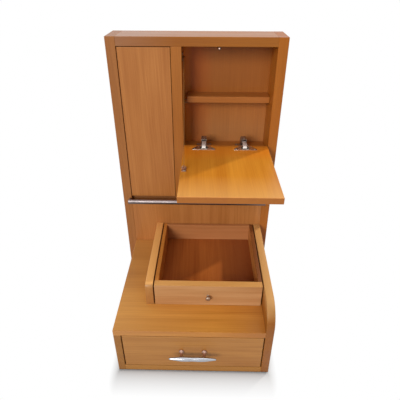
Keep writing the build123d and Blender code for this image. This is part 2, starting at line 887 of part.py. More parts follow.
parts = {
    "side_panel_left": side_panel(-1),
    "side_panel_right": side_panel(1),
    "top_board": top_board(),
    "back_panel": back_panel(),
    "divider": divider(),
    "flap_bay_floor": flap_bay_floor(),
    "flap_bay_shelf": flap_bay_shelf(),
    "shelf_pins": group(shelf_pin(*place) for place in shelf_pin_places()),
    "blind_panel": blind_panel(),
    "door_bay_floor": door_bay_floor(),
    "lower_panel": lower_panel(),
    "base_side_left": base_side_left(),
    "base_side_right": base_side_right(),
    "base_bottom": base_bottom(),
    "step_board": step_board(),
    "tray_cheek": tray_cheek(),
    "tray_guide": tray_guide(),
    "slide_channels": group(slide_channel(side) for side in SIDES),
    "front_rail": front_rail(),
    "rail_posts": group(rail_post(side) for side in SIDES),
    "rail_bolts": group(rail_bolt(side) for side in SIDES),
    "flap_hinge_arms": group(on_flap(hinge_arm(), x) for x in flap_hinge_places),
    "flap_hinge_plates": group(on_flap(hinge_plate(), x) for x in flap_hinge_places),
    "door_hinge_arms": group(on_door(hinge_arm(), z) for z in door_hinge_places),
    "door_hinge_plates": group(on_door(hinge_plate(), z) for z in door_hinge_places),
    "hinge_plate_screws": group(flap_plate_screws() + door_plate_screws()),
    "chain_anchor": chain_anchor(),
    "flap_chain": flap_chain(),
    "flap_catch": catch(flap_catch_x),
    "door_catch": catch(door_catch_x),
    "fitting_screws": group(anchor_screws() + catch_screws(flap_catch_x) + catch_screws(door_catch_x)),
    "glides": glides(),
    "back_screws": group(back_screw_set()),
    "flap_panel": flap_panel(),
    "flap_hinge_cups": group(on_flap(hinge_cup(), x) for x in flap_hinge_places),
    "flap_screws": group([on_flap(screw, x) for x in flap_hinge_places for screw in hinge_cup_screws()]
                         + eye_screws()),
    "flap_hinge_links": group(on_flap(hinge_link(), x) for x in flap_hinge_places),
    "chain_eye": chain_eye(),
    "flap_strike": flap_strike(),
    "door_panel": door_panel(),
    "door_hinge_cups": group(on_door(swing_shut(hinge_cup()), z) for z in door_hinge_places),
    "door_screws": group(on_door(swing_shut(screw), z) for z in door_hinge_places
                         for screw in hinge_cup_screws()),
    "door_hinge_links": group(on_door(Pos(0, link_shift_u, link_shift_v) * hinge_link(), z)
                              for z in door_hinge_places),
    "door_strike": door_strike(),
    "tray_front": tray_front(),
    "tray_side_left": tray_side(-1),
    "tray_side_right": tray_side(1),
    "tray_back": tray_back(),
    "tray_bottom": tray_bottom(),
    "tray_runners": group(tray_runner(side) for side in SIDES),
    "tray_knob": tray_knob(),
    "tray_knob_screw": tray_knob_screw(),
    "drawer_front": drawer_front(),
    "drawer_side_left": drawer_side(-1),
    "drawer_side_right": drawer_side(1),
    "drawer_back": drawer_back(),
    "drawer_bottom": drawer_bottom(),
    "slide_members": group(slide_member(side) for side in SIDES),
    "cleat_handle": group([cleat_bar()] + [cleat_post(side) for side in SIDES]),
    "cleat_screws": group(cleat_screw_set()),
}

to_footprint_middle = Pos(0, -footprint_middle_y, 0)
os.makedirs("parts", exist_ok=True)
for name, piece in parts.items():
    export_step(to_footprint_middle * piece, f"parts/{name}.step")
print(len(parts), "nodes written, moved along Y by", -footprint_middle_y)
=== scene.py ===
import math

import bmesh
import bpy
from mathutils import Matrix, Vector


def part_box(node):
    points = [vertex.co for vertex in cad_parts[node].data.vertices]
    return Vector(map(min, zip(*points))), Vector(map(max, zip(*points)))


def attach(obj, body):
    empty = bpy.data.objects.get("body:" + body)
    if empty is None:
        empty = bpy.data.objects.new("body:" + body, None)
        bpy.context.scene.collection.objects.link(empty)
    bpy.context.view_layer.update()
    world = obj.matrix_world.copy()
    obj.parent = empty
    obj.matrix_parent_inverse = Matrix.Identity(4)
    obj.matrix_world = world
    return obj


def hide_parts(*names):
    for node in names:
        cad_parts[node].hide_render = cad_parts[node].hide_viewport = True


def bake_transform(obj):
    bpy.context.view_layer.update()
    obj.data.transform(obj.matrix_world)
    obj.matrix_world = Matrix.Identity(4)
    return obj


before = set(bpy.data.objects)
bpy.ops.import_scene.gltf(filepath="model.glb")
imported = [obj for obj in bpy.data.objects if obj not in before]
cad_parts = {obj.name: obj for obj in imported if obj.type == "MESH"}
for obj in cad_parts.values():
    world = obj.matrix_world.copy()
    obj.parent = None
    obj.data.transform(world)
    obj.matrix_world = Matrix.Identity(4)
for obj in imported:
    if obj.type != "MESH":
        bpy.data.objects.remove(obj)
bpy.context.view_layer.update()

scene = bpy.context.scene
MM = 0.001
QUARTER_TURN, FULL_TURN = math.radians(90), math.radians(360)

# ---- places read from the solids, in metres ----
side_low, side_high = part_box("side_panel_left")
flap_low, flap_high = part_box("flap_panel")
back_low, back_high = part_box("back_panel")
divider_low, divider_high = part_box("divider")
tray_front_low, tray_front_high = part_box("tray_front")
flap_bay_floor_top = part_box("flap_bay_floor")[1].z
back_middle_y = (back_low.y + back_high.y) / 2
divider_middle_x = (divider_low.x + divider_high.x) / 2
step_front_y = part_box("step_board")[0].y
tray_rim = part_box("tray_side_right")[1].z
cheek_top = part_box("tray_cheek")[1].z
base_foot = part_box("base_bottom")[0].z
bay_edge_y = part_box("door_bay_floor")[0].y
drawer_front_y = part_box("drawer_front")[0].y

# ---- sizes of the boards' rounds and of the fittings, in millimetres ----
board_ease = 0.8
flank_round = 60.0
cheek_round = 12.0

rail_radius = 7.0
rail_post_radius = 3.5
rail_post_step = 0.5

cleat_bar_radius = 6.2
cleat_post_radius = 3.6
cleat_foot_radius = 6.6
cleat_foot_length = 9.0
cleat_post_x = 29.3

# hinges, in a frame of their own: the pivot, the pin and the shift are (y, z), the screws (x, y)
panel_open_face = 26.8
panel_pivot = (-4.4, 6.4)
cup_middle = -19.5
cup_radius = 13.0
cup_depth = 12.0
cup_wall = 1.0
cup_pin_radius = 1.5
cup_pin_half = 11.6
flange_half = 32.0
flange_front = -33.0
flange_back = -2.0
flange_wing = 6.0
flange_neck = 12.0
flange_thickness = 1.2
flange_screw = (25.0, -27.2)
link_half = 5.5
link_thickness = 3.0
link_pin = (-14.0, 20.8)
link_head_radius = 3.5
link_rise = 2.0
link_tail = 20.0
link_shut_shift = (24.0, -4.8)
arm_half = 7.4
arm_sheet = 1.2
arm_front = 18.8
arm_top = 36.4
arm_low = 22.3
arm_level_end = 44.0
arm_end = 76.0
arm_foot = 15.0
adjuster_y = 30.5
plate_height = 8.0
plate_end = 78.4
plate_length = 40.0
plate_half = 22.0
plate_wing_inset = 8.0
plate_wing_height = 2.7
plate_wing_length = 16.0
plate_screw = (17.2, 62.4)
saddle_half = 6.0

bracket_width = 12.0
bracket_length = 22.0
bracket_sheet = 1.2
bracket_screw_inset = 4.0
tab_corner = 3.5
eye_height = 11.0
eye_hole_radius = 2.2
anchor_reach = 7.0
anchor_hole_radius = 1.5

chain_wire = 0.75
chain_link_length = 4.8
chain_link_width = 2.2
link_twist = math.radians(45)

catch_radius = 4.5
catch_neck = 4.5
magnet_radius = catch_radius - 2.7
catch_plate_thickness = 1.5
# across from the middle, and back from the front
catch_screw = (9.0, 7.0)

# radius and height of the heads
small_screw = (3.2, 0.8)
back_screw = (3.6, 1.6)
pull_screw = (4.2, 2.4)

glide_radius = 8.5
glide_front_x = (-191.0, 190.0)
cabinet_glide_inset = 78.5

# ---- studio: lengths in metres, turns in degrees, sensor and lens in millimetres ----
WHITE = (1, 1, 1, 1)
floor_radius = 30.0
floor_color = (0.5, 0.5, 0.505, 1)
# axis, half of the ground that stays shadowed, how much faster the shadow fades that way
shadow_ground = (("X", 0.2, 3.0), ("Y", 0.22, 1.0))
shadow_fade = 0.07
sky_color = (1.0, 0.985, 0.965, 1)
sky_strength = 0.26

camera_sensor = 36.0
camera_lens = 33.42
camera_place = (0.02669, -0.82218, 0.9204)
camera_heading, camera_down, camera_roll = 1.001, 31.938, 0.204

# ---- turns: what lies along Z then lies along X, to the front, to the back or down ----
UNTURNED = Matrix.Identity(4)
ALONG_X = Matrix.Rotation(QUARTER_TURN, 4, "Y")
ALONG_FRONT = Matrix.Rotation(QUARTER_TURN, 4, "X")
FACE_BACK = Matrix.Rotation(-QUARTER_TURN, 4, "X")
FACE_DOWN = Matrix.Rotation(2 * QUARTER_TURN, 4, "X")
# X to Y, Y to Z and Z to X
NEXT_AXES = Matrix(((0, 0, 1, 0), (1, 0, 0, 0), (0, 1, 0, 0), (0, 0, 0, 1)))


# ---- shapes ----
def in_mm(box):
    """The two corners of a box and its middle, in millimetres."""
    low, high = (corner / MM for corner in box)
    return low, high, (low + high) / 2


def eased(shape, amount, steps=2, sharper_than=40):
    """Round the edges of a shape that are sharper than so many degrees, by millimetres."""
    sharp = [edge for edge in shape.edges if len(edge.link_faces) == 2
             and math.radians(sharper_than) < edge.calc_face_angle(0) < math.pi]
    bmesh.ops.bevel(shape, geom=sharp, offset=amount * MM, segments=steps, profile=0.5, affect="EDGES",
                    material=-1, clamp_overlap=True)
    return shape


def cleaned(shape):
    """Merge doubles and turn all the faces outwards."""
    bmesh.ops.remove_doubles(shape, verts=shape.verts, dist=0.001 * MM)
    bmesh.ops.recalc_face_normals(shape, faces=shape.faces)
    return shape


def placed(shape, matrix):
    """Move a shape by a matrix, and turn it right side out again if the matrix mirrors it."""
    bmesh.ops.transform(shape, matrix=matrix, verts=shape.verts)
    bmesh.ops.recalc_face_normals(shape, faces=shape.faces)
    return shape


def moved(shape, x, y, z):
    """Move a shape by millimetres."""
    bmesh.ops.translate(shape, vec=Vector((x, y, z)) * MM, verts=shape.verts)
    return shape


def mesh_of(shape, name):
    """The mesh of a shape, which is used up."""
    mesh = bpy.data.meshes.new(name)
    shape.to_mesh(mesh)
    shape.free()
    return mesh


def joined(shapes):
    """Several closed shapes in one."""
    whole = bmesh.new()
    for shape in shapes:
        mesh = mesh_of(shape, "shape")
        whole.from_mesh(mesh)
        bpy.data.meshes.remove(mesh)
    return whole


def block(low, high, ease=0.0, steps=2):
    """A box between two corners in millimetres, with its edges eased."""
    low, high = Vector(low) * MM, Vector(high) * MM
    shape = bmesh.new()
    bmesh.ops.create_cube(shape, size=1.0)
    bmesh.ops.scale(shape, vec=high - low, verts=shape.verts)
    bmesh.ops.translate(shape, vec=(low + high) / 2, verts=shape.verts)
    return eased(shape, ease, steps) if ease else shape


def turned(profile, steps=40, ease=0.0, ease_steps=2, sharper_than=40):
    """A profile of (radius, height) in millimetres, spun round Z."""
    shape = bmesh.new()
    points = [shape.verts.new((radius * MM, 0, height * MM)) for radius, height in profile]
    lines = [shape.edges.new(pair) for pair in zip(points, points[1:])]
    bmesh.ops.spin(shape, geom=points + lines, cent=(0, 0, 0), axis=(0, 0, 1), angle=FULL_TURN,
                   steps=steps, use_merge=True)
    cleaned(shape)
    return eased(shape, ease, ease_steps, sharper_than) if ease else shape


def cylinder(radius, low, high):
    """The profile of a plain cylinder."""
    return [(0, low), (radius, low), (radius, high), (0, high)]


def drawn_out(outline, low, high, ease=0.0, steps=2, hole=None, hole_steps=24):
    """A flat outline of (x, y) in millimetres, drawn out along Z, with a round hole if one is given."""
    shape = bmesh.new()
    points = [shape.verts.new((x * MM, y * MM, low * MM)) for x, y in outline]
    rim = [shape.edges.new(pair) for pair in zip(points, points[1:] + points[:1])]
    if hole:
        x, y, radius = hole
        ring = bmesh.ops.create_circle(shape, cap_ends=False, radius=radius * MM, segments=hole_steps,
                                       matrix=Matrix.Translation(Vector((x, y, low)) * MM))
        rim += list({edge for vert in ring["verts"] for edge in vert.link_edges})
    bmesh.ops.triangle_fill(shape, use_beauty=True, use_dissolve=False, edges=rim)
    drawn = bmesh.ops.extrude_face_region(shape, geom=list(shape.faces), use_keep_orig=True)
    top = [item for item in drawn["geom"] if isinstance(item, bmesh.types.BMVert)]
    bmesh.ops.translate(shape, vec=Vector((0, 0, high - low)) * MM, verts=top)
    cleaned(shape)
    bmesh.ops.dissolve_limit(shape, angle_limit=math.radians(1), verts=shape.verts, edges=shape.edges)
    return eased(shape, ease, steps) if ease else shape


def shown(name, data):
    """A new object in the scene."""
    made = bpy.data.objects.new(name, data)
    scene.collection.objects.link(made)
    return made


def piece(name, shape, body, finish, slot, *nodes, smooth_below=38):
    """Make an object of a shape, give it the finish of that name and let it move with its body."""
    mesh = mesh_of(cleaned(shape), name)
    mesh.polygons.foreach_set("use_smooth", [True] * len(mesh.polygons))
    mesh.set_sharp_from_angle(angle=math.radians(smooth_below))
    mesh.materials.append(finishes[finish])
    made = shown(name, mesh)
    if body:
        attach(made, body)
    if nodes:
        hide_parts(*nodes)
    return made


# ---- node building ----
def set_inputs(node, **values):
    """Set values of a node's inputs, whose names have underscores here for their spaces."""
    for title, value in values.items():
        node.inputs[title.replace("_", " ")].default_value = value
    return node


def new_node(tree, kind, **values):
    """A new shader node with values of its inputs."""
    return set_inputs(tree.nodes.new(kind), **values)


def link(tree, source, target):
    """Join an output to an input."""
    tree.links.new(source, target)


def fill(tree, socket, value):
    """Give an input another node's output, or a number or a colour of its own."""
    if isinstance(value, bpy.types.NodeSocket):
        link(tree, value, socket)
    elif value is not None:
        socket.default_value = value


def math_node(tree, operation, first, second=None, clamp=False):
    """A math node whose inputs are sockets or numbers."""
    node = new_node(tree, "ShaderNodeMath")
    node.operation = operation
    node.use_clamp = clamp
    for socket, value in zip(node.inputs, (first, second)):
        fill(tree, socket, value)
    return node.outputs[0]


def times(tree, first, second, clamp=False):
    """The product of two sockets or numbers."""
    return math_node(tree, "MULTIPLY", first, second, clamp)


def plus(tree, first, second, clamp=False):
    """The sum of two sockets or numbers."""
    return math_node(tree, "ADD", first, second, clamp)


def weighted(tree, *pairs):
    """The sum of several sockets, each times its own weight."""
    parts = [times(tree, socket, weight) for socket, weight in pairs]
    total = parts[0]
    for part in parts[1:]:
        total = plus(tree, total, part)
    return total


def axes_of(tree, vector):
    """The X, Y and Z of a vector."""
    node = new_node(tree, "ShaderNodeSeparateXYZ")
    link(tree, vector, node.inputs[0])
    return node.outputs


def stretched(tree, vector, scale):
    """The vector with each of its axes scaled by its own number."""
    node = new_node(tree, "ShaderNodeVectorMath")
    node.operation = "MULTIPLY"
    link(tree, vector, node.inputs[0])
    node.inputs[1].default_value = scale
    return node.outputs[0]


def ranged(tree, value, low, high, out_low=0.0, out_high=1.0):
    """Map a value from one range to another, with its ends held."""
    node = new_node(tree, "ShaderNodeMapRange", From_Min=low, From_Max=high, To_Min=out_low,
                    To_Max=out_high)
    link(tree, value, node.inputs["Value"])
    return node.outputs["Result"]


def noise(tree, vector, scale, detail=2.0, rough=0.55, warp=0.0):
    """Noise of one size, or of a size for each axis where the scale has three numbers."""
    if isinstance(scale, tuple):
        vector, scale = stretched(tree, vector, scale), 1.0
    node = new_node(tree, "ShaderNodeTexNoise", Scale=scale, Detail=detail, Roughness=rough,
                    Distortion=warp)
    link(tree, vector, node.inputs["Vector"])
    return node.outputs["Fac"]


def mixed(tree, factor, first, second, blend="MIX"):
    """Mix two colours; each input is a socket, a colour or a number."""
    node = new_node(tree, "ShaderNodeMix")
    node.data_type = "RGBA"
    node.blend_type = blend
    sockets = [socket for socket in node.inputs if socket.enabled]
    for socket, value in zip(sockets, (factor, first, second)):
        fill(tree, socket, value)
    return next(socket for socket in node.outputs if socket.enabled)


def new_group(name, inputs, outputs):
    """A shader node group; its inputs are a vector and then names with a type and a value."""
    group = bpy.data.node_groups.new(name, "ShaderNodeTree")
    group.interface.new_socket(name="Vector", in_out="INPUT", socket_type=VECTOR)
    for title, kind, value in inputs:
        group.interface.new_socket(name=title, in_out="INPUT", socket_type=kind).default_value = value
    for title, kind in outputs:
        group.interface.new_socket(name=title, in_out="OUTPUT", socket_type=kind)
    return group, group.nodes.new("NodeGroupInput").outputs, group.nodes.new("NodeGroupOutput").inputs


# ---- effects that the finishes share; their scales are per metre ----
FLOAT, COLOR, VECTOR = "NodeSocketFloat", "NodeSocketColor", "NodeSocketVector"
ring_rate = 260.0
ring_wander = 0.03
ring_lean = 0.05
wear_radius = 1.6
wear_samples = 6

# how strong the edge mark is, and how much lighter a worn, smudged or downward surface is
# the lighter edges of wood are partly wear and partly a painted highlight of rounded edges catching light
wood_wear_and_highlight = 0.7
worn_and_highlit_wood = 1.35
metal_wear = 0.6
worn_metal = 1.12
smudged_metal = 0.82
# the downward surface is darker, a painted shade
under_shade_metal = 0.3
# where a face counts as end grain, and where it counts as facing down for the painted shade
end_grain_ramp = (0.75, 0.92)
under_shade_ramp = (0.66, 0.36)
# strength and depth of the relief
wood_relief = (0.12, 0.08)
pebble_relief = (0.2, 0.1)


def make_wood_grain():
    """Growth rings, soft streaks and fine fibres of a board whose grain runs along Z."""
    tree, given, out = new_group(
        "wood_grain",
        [("Early Wood", COLOR, (0.5, 0.2, 0.06, 1)), ("Late Wood", COLOR, (0.3, 0.1, 0.02, 1)),
         ("Figure", FLOAT, 0.5), ("Fibre", FLOAT, 0.5)],
        [("Color", COLOR), ("Gloss", FLOAT), ("Height", FLOAT)])
    vector = given["Vector"]
    axes = axes_of(tree, vector)
    wander = times(tree, noise(tree, vector, (5.0, 5.0, 1.1)), ring_wander)
    x = plus(tree, plus(tree, axes["X"], wander), times(tree, axes["Z"], ring_lean))
    y = plus(tree, axes["Y"], wander)
    distance = math_node(tree, "SQRT", plus(tree, times(tree, x, x), times(tree, y, y)))
    rings = new_node(tree, "ShaderNodeTexNoise", Scale=1.0, Detail=2.0, Roughness=0.6)
    rings.noise_dimensions = "1D"
    link(tree, times(tree, distance, ring_rate), rings.inputs["W"])
    ring = ranged(tree, rings.outputs["Fac"], 0.3, 0.7)
    band = ranged(tree, noise(tree, vector, (64.0, 64.0, 2.0), 3.0, 0.6), 0.32, 0.68)
    cloud = ranged(tree, noise(tree, vector, (16.0, 16.0, 3.0)), 0.3, 0.7)
    figure = math_node(tree, "SUBTRACT", weighted(tree, (band, 0.36), (cloud, 0.44), (ring, 0.2)), 0.5)
    figure = plus(tree, 0.5, times(tree, figure, times(tree, given["Figure"], 2.0)), clamp=True)
    fine = ranged(tree, noise(tree, vector, (1300.0, 1300.0, 26.0), 2.0, 0.6), 0.3, 0.7)
    pore = ranged(tree, noise(tree, vector, (2300.0, 2300.0, 95.0), 1.0), 0.66, 0.72)
    streak = ranged(tree, noise(tree, vector, (330.0, 330.0, 8.0), 2.0, 0.6), 0.38, 0.68)
    dark = weighted(tree, (math_node(tree, "SUBTRACT", 1.0, fine), 0.1), (pore, 0.2), (streak, 0.2))
    base = mixed(tree, figure, given["Late Wood"], given["Early Wood"])
    base = mixed(tree, times(tree, dark, given["Fibre"]), base, given["Late Wood"], "MULTIPLY")
    link(tree, base, out["Color"])
    link(tree, weighted(tree, (cloud, 0.6), (fine, 0.4)), out["Gloss"])
    link(tree, weighted(tree, (fine, 0.5), (pore, -0.6)), out["Height"])
    return tree


def make_edge_wear_and_highlight():
    """Mask and normal of the outer edges, where a finish is rubbed thin and a highlight is painted."""
    tree, given, out = new_group("edge_wear_and_highlight", [("Strength", FLOAT, 1.0)],
                                 [("Mask", FLOAT), ("Normal", VECTOR)])
    bevel = new_node(tree, "ShaderNodeBevel", Radius=wear_radius * MM)
    bevel.samples = wear_samples
    dot = new_node(tree, "ShaderNodeVectorMath")
    dot.operation = "DOT_PRODUCT"
    link(tree, bevel.outputs[0], dot.inputs[0])
    link(tree, new_node(tree, "ShaderNodeNewGeometry").outputs["Normal"], dot.inputs[1])
    turn = ranged(tree, math_node(tree, "SUBTRACT", 1.0, dot.outputs["Value"]), 0.01, 0.22)
    patch = ranged(tree, noise(tree, given["Vector"], (55.0, 55.0, 55.0), 3.0), 0.35, 0.65, 0.45, 1.0)
    link(tree, times(tree, times(tree, turn, patch), given["Strength"], clamp=True), out["Mask"])
    link(tree, bevel.outputs[0], out["Normal"])
    return tree


def make_handling_marks():
    """Smudges and hairline scratches left by use on a hard surface; scratches run along Z."""
    tree, given, out = new_group("handling_marks", [("Hairline", FLOAT, 1.0)],
                                 [("Smudge", FLOAT), ("Scratch", FLOAT)])
    smudge = ranged(tree, noise(tree, given["Vector"], (70.0, 70.0, 70.0), 4.0, 0.6, 0.4), 0.35, 0.7)
    line = ranged(tree, noise(tree, given["Vector"], (4200.0, 4200.0, 60.0)), 0.4, 0.62)
    link(tree, smudge, out["Smudge"])
    link(tree, times(tree, line, given["Hairline"]), out["Scratch"])
    return tree


wood_grain = make_wood_grain()
edge_wear_and_highlight = make_edge_wear_and_highlight()
handling_marks = make_handling_marks()


# ---- kinds of finish; their colours are as seen on a screen, 0 to 255 ----
finishes = {}


def linear(red, green, blue):
    """A screen's colour made linear."""
    values = [value / 255 for value in (red, green, blue)]
    return tuple(value / 12.92 if value <= 0.04045 else ((value + 0.055) / 1.055) ** 2.4
                 for value in values) + (1,)


def lighter(color, factor, lift=0.0):
    """A linear colour times a factor, never over full."""
    return tuple(min(1.0, value * factor + lift) for value in color[:3]) + (1,)


def new_finish(name, **settings):
    """The nodes of a new finish, and its Principled shader with the constants that are set on it."""
    finishes[name] = bpy.data.materials.new(name)
    finishes[name].use_nodes = True
    tree = finishes[name].node_tree
    return tree, set_inputs(tree.nodes["Principled BSDF"], **settings)


def grain_vector(tree, along, shift=(0, 0, 0)):
    """Object coordinates, moved and turned so that the grain runs along Z."""
    turns = {"z": (0, 0, 0), "x": (0, QUARTER_TURN, 0), "y": (QUARTER_TURN, 0, 0)}
    place = new_node(tree, "ShaderNodeMapping", Location=shift, Rotation=turns[along])
    link(tree, new_node(tree, "ShaderNodeTexCoord").outputs["Object"], place.inputs["Vector"])
    return place.outputs["Vector"]


def put_group(tree, group, vector, **values):
    """Use a shared effect with its own values."""
    node = new_node(tree, "ShaderNodeGroup")
    node.node_tree = group
    link(tree, vector, node.inputs["Vector"])
    return set_inputs(node, **values).outputs


def add_bump(tree, shader, height, strength, distance, normal=None):
    """Fine relief of a depth in millimetres, on top of another normal if one is given."""
    bump = new_node(tree, "ShaderNodeBump", Strength=strength, Distance=distance * MM)
    link(tree, height, bump.inputs["Height"])
    if normal:
        link(tree, normal, bump.inputs["Normal"])
    link(tree, bump.outputs["Normal"], shader.inputs["Normal"])


def stained_wood(name, along, shift, early, late, figure=0.5, fibre=0.6, rough=(0.34, 0.48), coat=0.1,
                 end_grain=0.8, veils=()):
    """Lacquered wood: stain colour by the grain, darker on end grain, thin at the edges, under a satin coat.
    Its lighter edges are partly wear and partly a painted highlight.

    A veil is another tone, here mostly painted light or shade: (ramps, amount, tone). Each ramp is
    (axis, where none, where full) in metres, and the veil shows where all its ramps do.
    """
    early, late = linear(*early), linear(*late)
    tree, shader = new_finish(name, Specular_IOR_Level=0.2, Coat_Weight=coat, Coat_Roughness=0.2,
                              Coat_IOR=1.5)
    vector = grain_vector(tree, along, shift)
    grain = put_group(tree, wood_grain, vector, Early_Wood=early, Late_Wood=late, Figure=figure, Fibre=fibre)
    coordinates = new_node(tree, "ShaderNodeTexCoord").outputs
    spot = axes_of(tree, coordinates["Object"])
    color = grain["Color"]
    for ramps, amount, tone in veils:
        share = amount
        for axis, start, end in ramps:
            share = times(tree, ranged(tree, spot[axis.upper()], start, end), share)
        color = mixed(tree, share, color, linear(*tone))
    facing = axes_of(tree, coordinates["Normal"])[along.upper()]
    end_mask = ranged(tree, math_node(tree, "ABSOLUTE", facing), *end_grain_ramp)
    color = mixed(tree, end_mask, color, (end_grain, end_grain * 0.95, end_grain * 0.85, 1), "MULTIPLY")
    edge_mark = put_group(tree, edge_wear_and_highlight, vector, Strength=wood_wear_and_highlight)
    link(tree, mixed(tree, edge_mark["Mask"], color, lighter(early, worn_and_highlit_wood)), shader.inputs["Base Color"])
    link(tree, ranged(tree, grain["Gloss"], 0.2, 0.8, *rough), shader.inputs["Roughness"])
    add_bump(tree, shader, grain["Height"], *wood_relief, edge_mark["Normal"])


def worked_metal(name, color, rough, along="x", hairline=0.3, smudge=0.1, bump=0.0, under=0.0):
    """Plated or polished metal with smudges and fine hairlines, with a painted shade on its under side if
    asked.
    """
    color = linear(*color)
    tree, shader = new_finish(name, Metallic=1.0)
    vector = grain_vector(tree, along)
    marks = put_group(tree, handling_marks, vector, Hairline=hairline)
    edge_mark = put_group(tree, edge_wear_and_highlight, vector, Strength=metal_wear)
    shade = mixed(tree, times(tree, marks["Smudge"], 0.5), color, lighter(color, smudged_metal))
    shade = mixed(tree, edge_mark["Mask"], shade, lighter(color, worn_metal))
    # painted shade: darker where the metal faces down
    if under:
        facing = axes_of(tree, new_node(tree, "ShaderNodeTexCoord").outputs["Normal"])
        share = ranged(tree, facing["Z"], *under_shade_ramp, 0.0, under)
        shade = mixed(tree, share, shade, lighter(color, under_shade_metal))
    link(tree, shade, shader.inputs["Base Color"])
    uneven = weighted(tree, (marks["Smudge"], smudge), (marks["Scratch"], smudge))
    link(tree, plus(tree, uneven, rough), shader.inputs["Roughness"])
    if bump:
        add_bump(tree, shader, marks["Scratch"], bump, 0.02)


def moulded_plastic(name, color, rough):
    """Plain moulded plastic with a fine pebble and scuffs."""
    color = linear(*color)
    tree, shader = new_finish(name)
    vector = grain_vector(tree, "z")
    marks = put_group(tree, handling_marks, vector, Hairline=0.5)
    shade = mixed(tree, times(tree, marks["Smudge"], 0.35), color, lighter(color, 1.8, 0.02))
    link(tree, shade, shader.inputs["Base Color"])
    link(tree, plus(tree, times(tree, marks["Scratch"], 0.12), rough), shader.inputs["Roughness"])
    add_bump(tree, shader, noise(tree, vector, 1400.0), *pebble_relief)


def dress(node, finish):
    """Give a solid the finish of that name."""
    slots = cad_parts[node].data.materials
    slots.clear()
    slots.append(finishes[finish])


# ---- finishes of the boards ----
EARLY, LATE = (184, 130, 62), (158, 102, 42)
# pale tone: painted light on lit tops and on the step's left, and wear with a painted sheen on the flap
PALE_LIGHT_AND_WEAR = (226, 176, 110)

# ramps and veils that the boards below use
OUTER_FACE = ("z", flap_low.z + 0.0015, flap_low.z + 0.0005)
INNER_FACE = ("z", flap_high.z - 0.0015, flap_high.z - 0.0005)
BAY_FACE = [("y", back_middle_y + 0.0005, back_middle_y - 0.0005),
            ("x", divider_middle_x, divider_middle_x + 0.001)]
# painted shade on the front of the door bay's floor, in the recess under the door
BAY_EDGE_SHADE = ([("y", bay_edge_y + 0.03, bay_edge_y + 0.012)], 0.85, (122, 74, 42))
# painted shadow along the foot of the base, where it meets the floor
UNDER_EDGE_SHADE = ([("z", base_foot + 0.0035, base_foot + 0.001)], 0.8, (66, 38, 18))

# flap: its outer face a darker tone, and its front edge face a tone of its own
flap_veils = [([OUTER_FACE], 0.5, (156, 98, 78)),
              # inner face paler towards the front, partly wear and partly a painted sheen
              ([INNER_FACE, ("y", flap_low.y + 0.1, flap_low.y)], 0.4, PALE_LIGHT_AND_WEAR),
              # painted warm shade towards the back of the inner face, and a painted shadow along its back edge
              ([INNER_FACE, ("y", flap_high.y - 0.1, flap_high.y - 0.05)], 0.35, (216, 108, 14)),
              ([INNER_FACE, ("y", flap_high.y - 0.016, flap_high.y - 0.004)], 0.45, (98, 48, 24)),
              ([("y", flap_low.y + 0.003, flap_low.y + 0.0005)], 0.5, (222, 136, 72))]
# step: paler towards the left, painted light; darker towards the right, a painted shadow of the flank
step_veils = [([("x", 0.1, -0.2)], 0.34, PALE_LIGHT_AND_WEAR), ([("x", 0.05, 0.18)], 0.45, (150, 94, 52)),
              # darker towards the back, painted shade under the tray; then a darker front edge
              ([("y", step_front_y + 0.09, step_front_y + 0.2)], 0.4, (140, 84, 44)),
              ([("y", step_front_y + 0.002, step_front_y + 0.0005)], 0.4, (150, 92, 50))]
# bay face of the back panel: lighter low down and darker under the top board, painted light and shade
back_veils = [(BAY_FACE + [("z", 0.64, 0.52)], 0.14, (222, 176, 128)),
              (BAY_FACE + [("z", 0.6, 0.66)], 0.45, (134, 76, 26)),
              # warm orange near the divider, painted light bounced into the bay's shaded corner
              (BAY_FACE + [("x", 0.045, 0.0)], 0.3, (200, 84, 8)),
              (BAY_FACE + [("x", -0.012, -0.026)], 0.4, (232, 134, 10))]

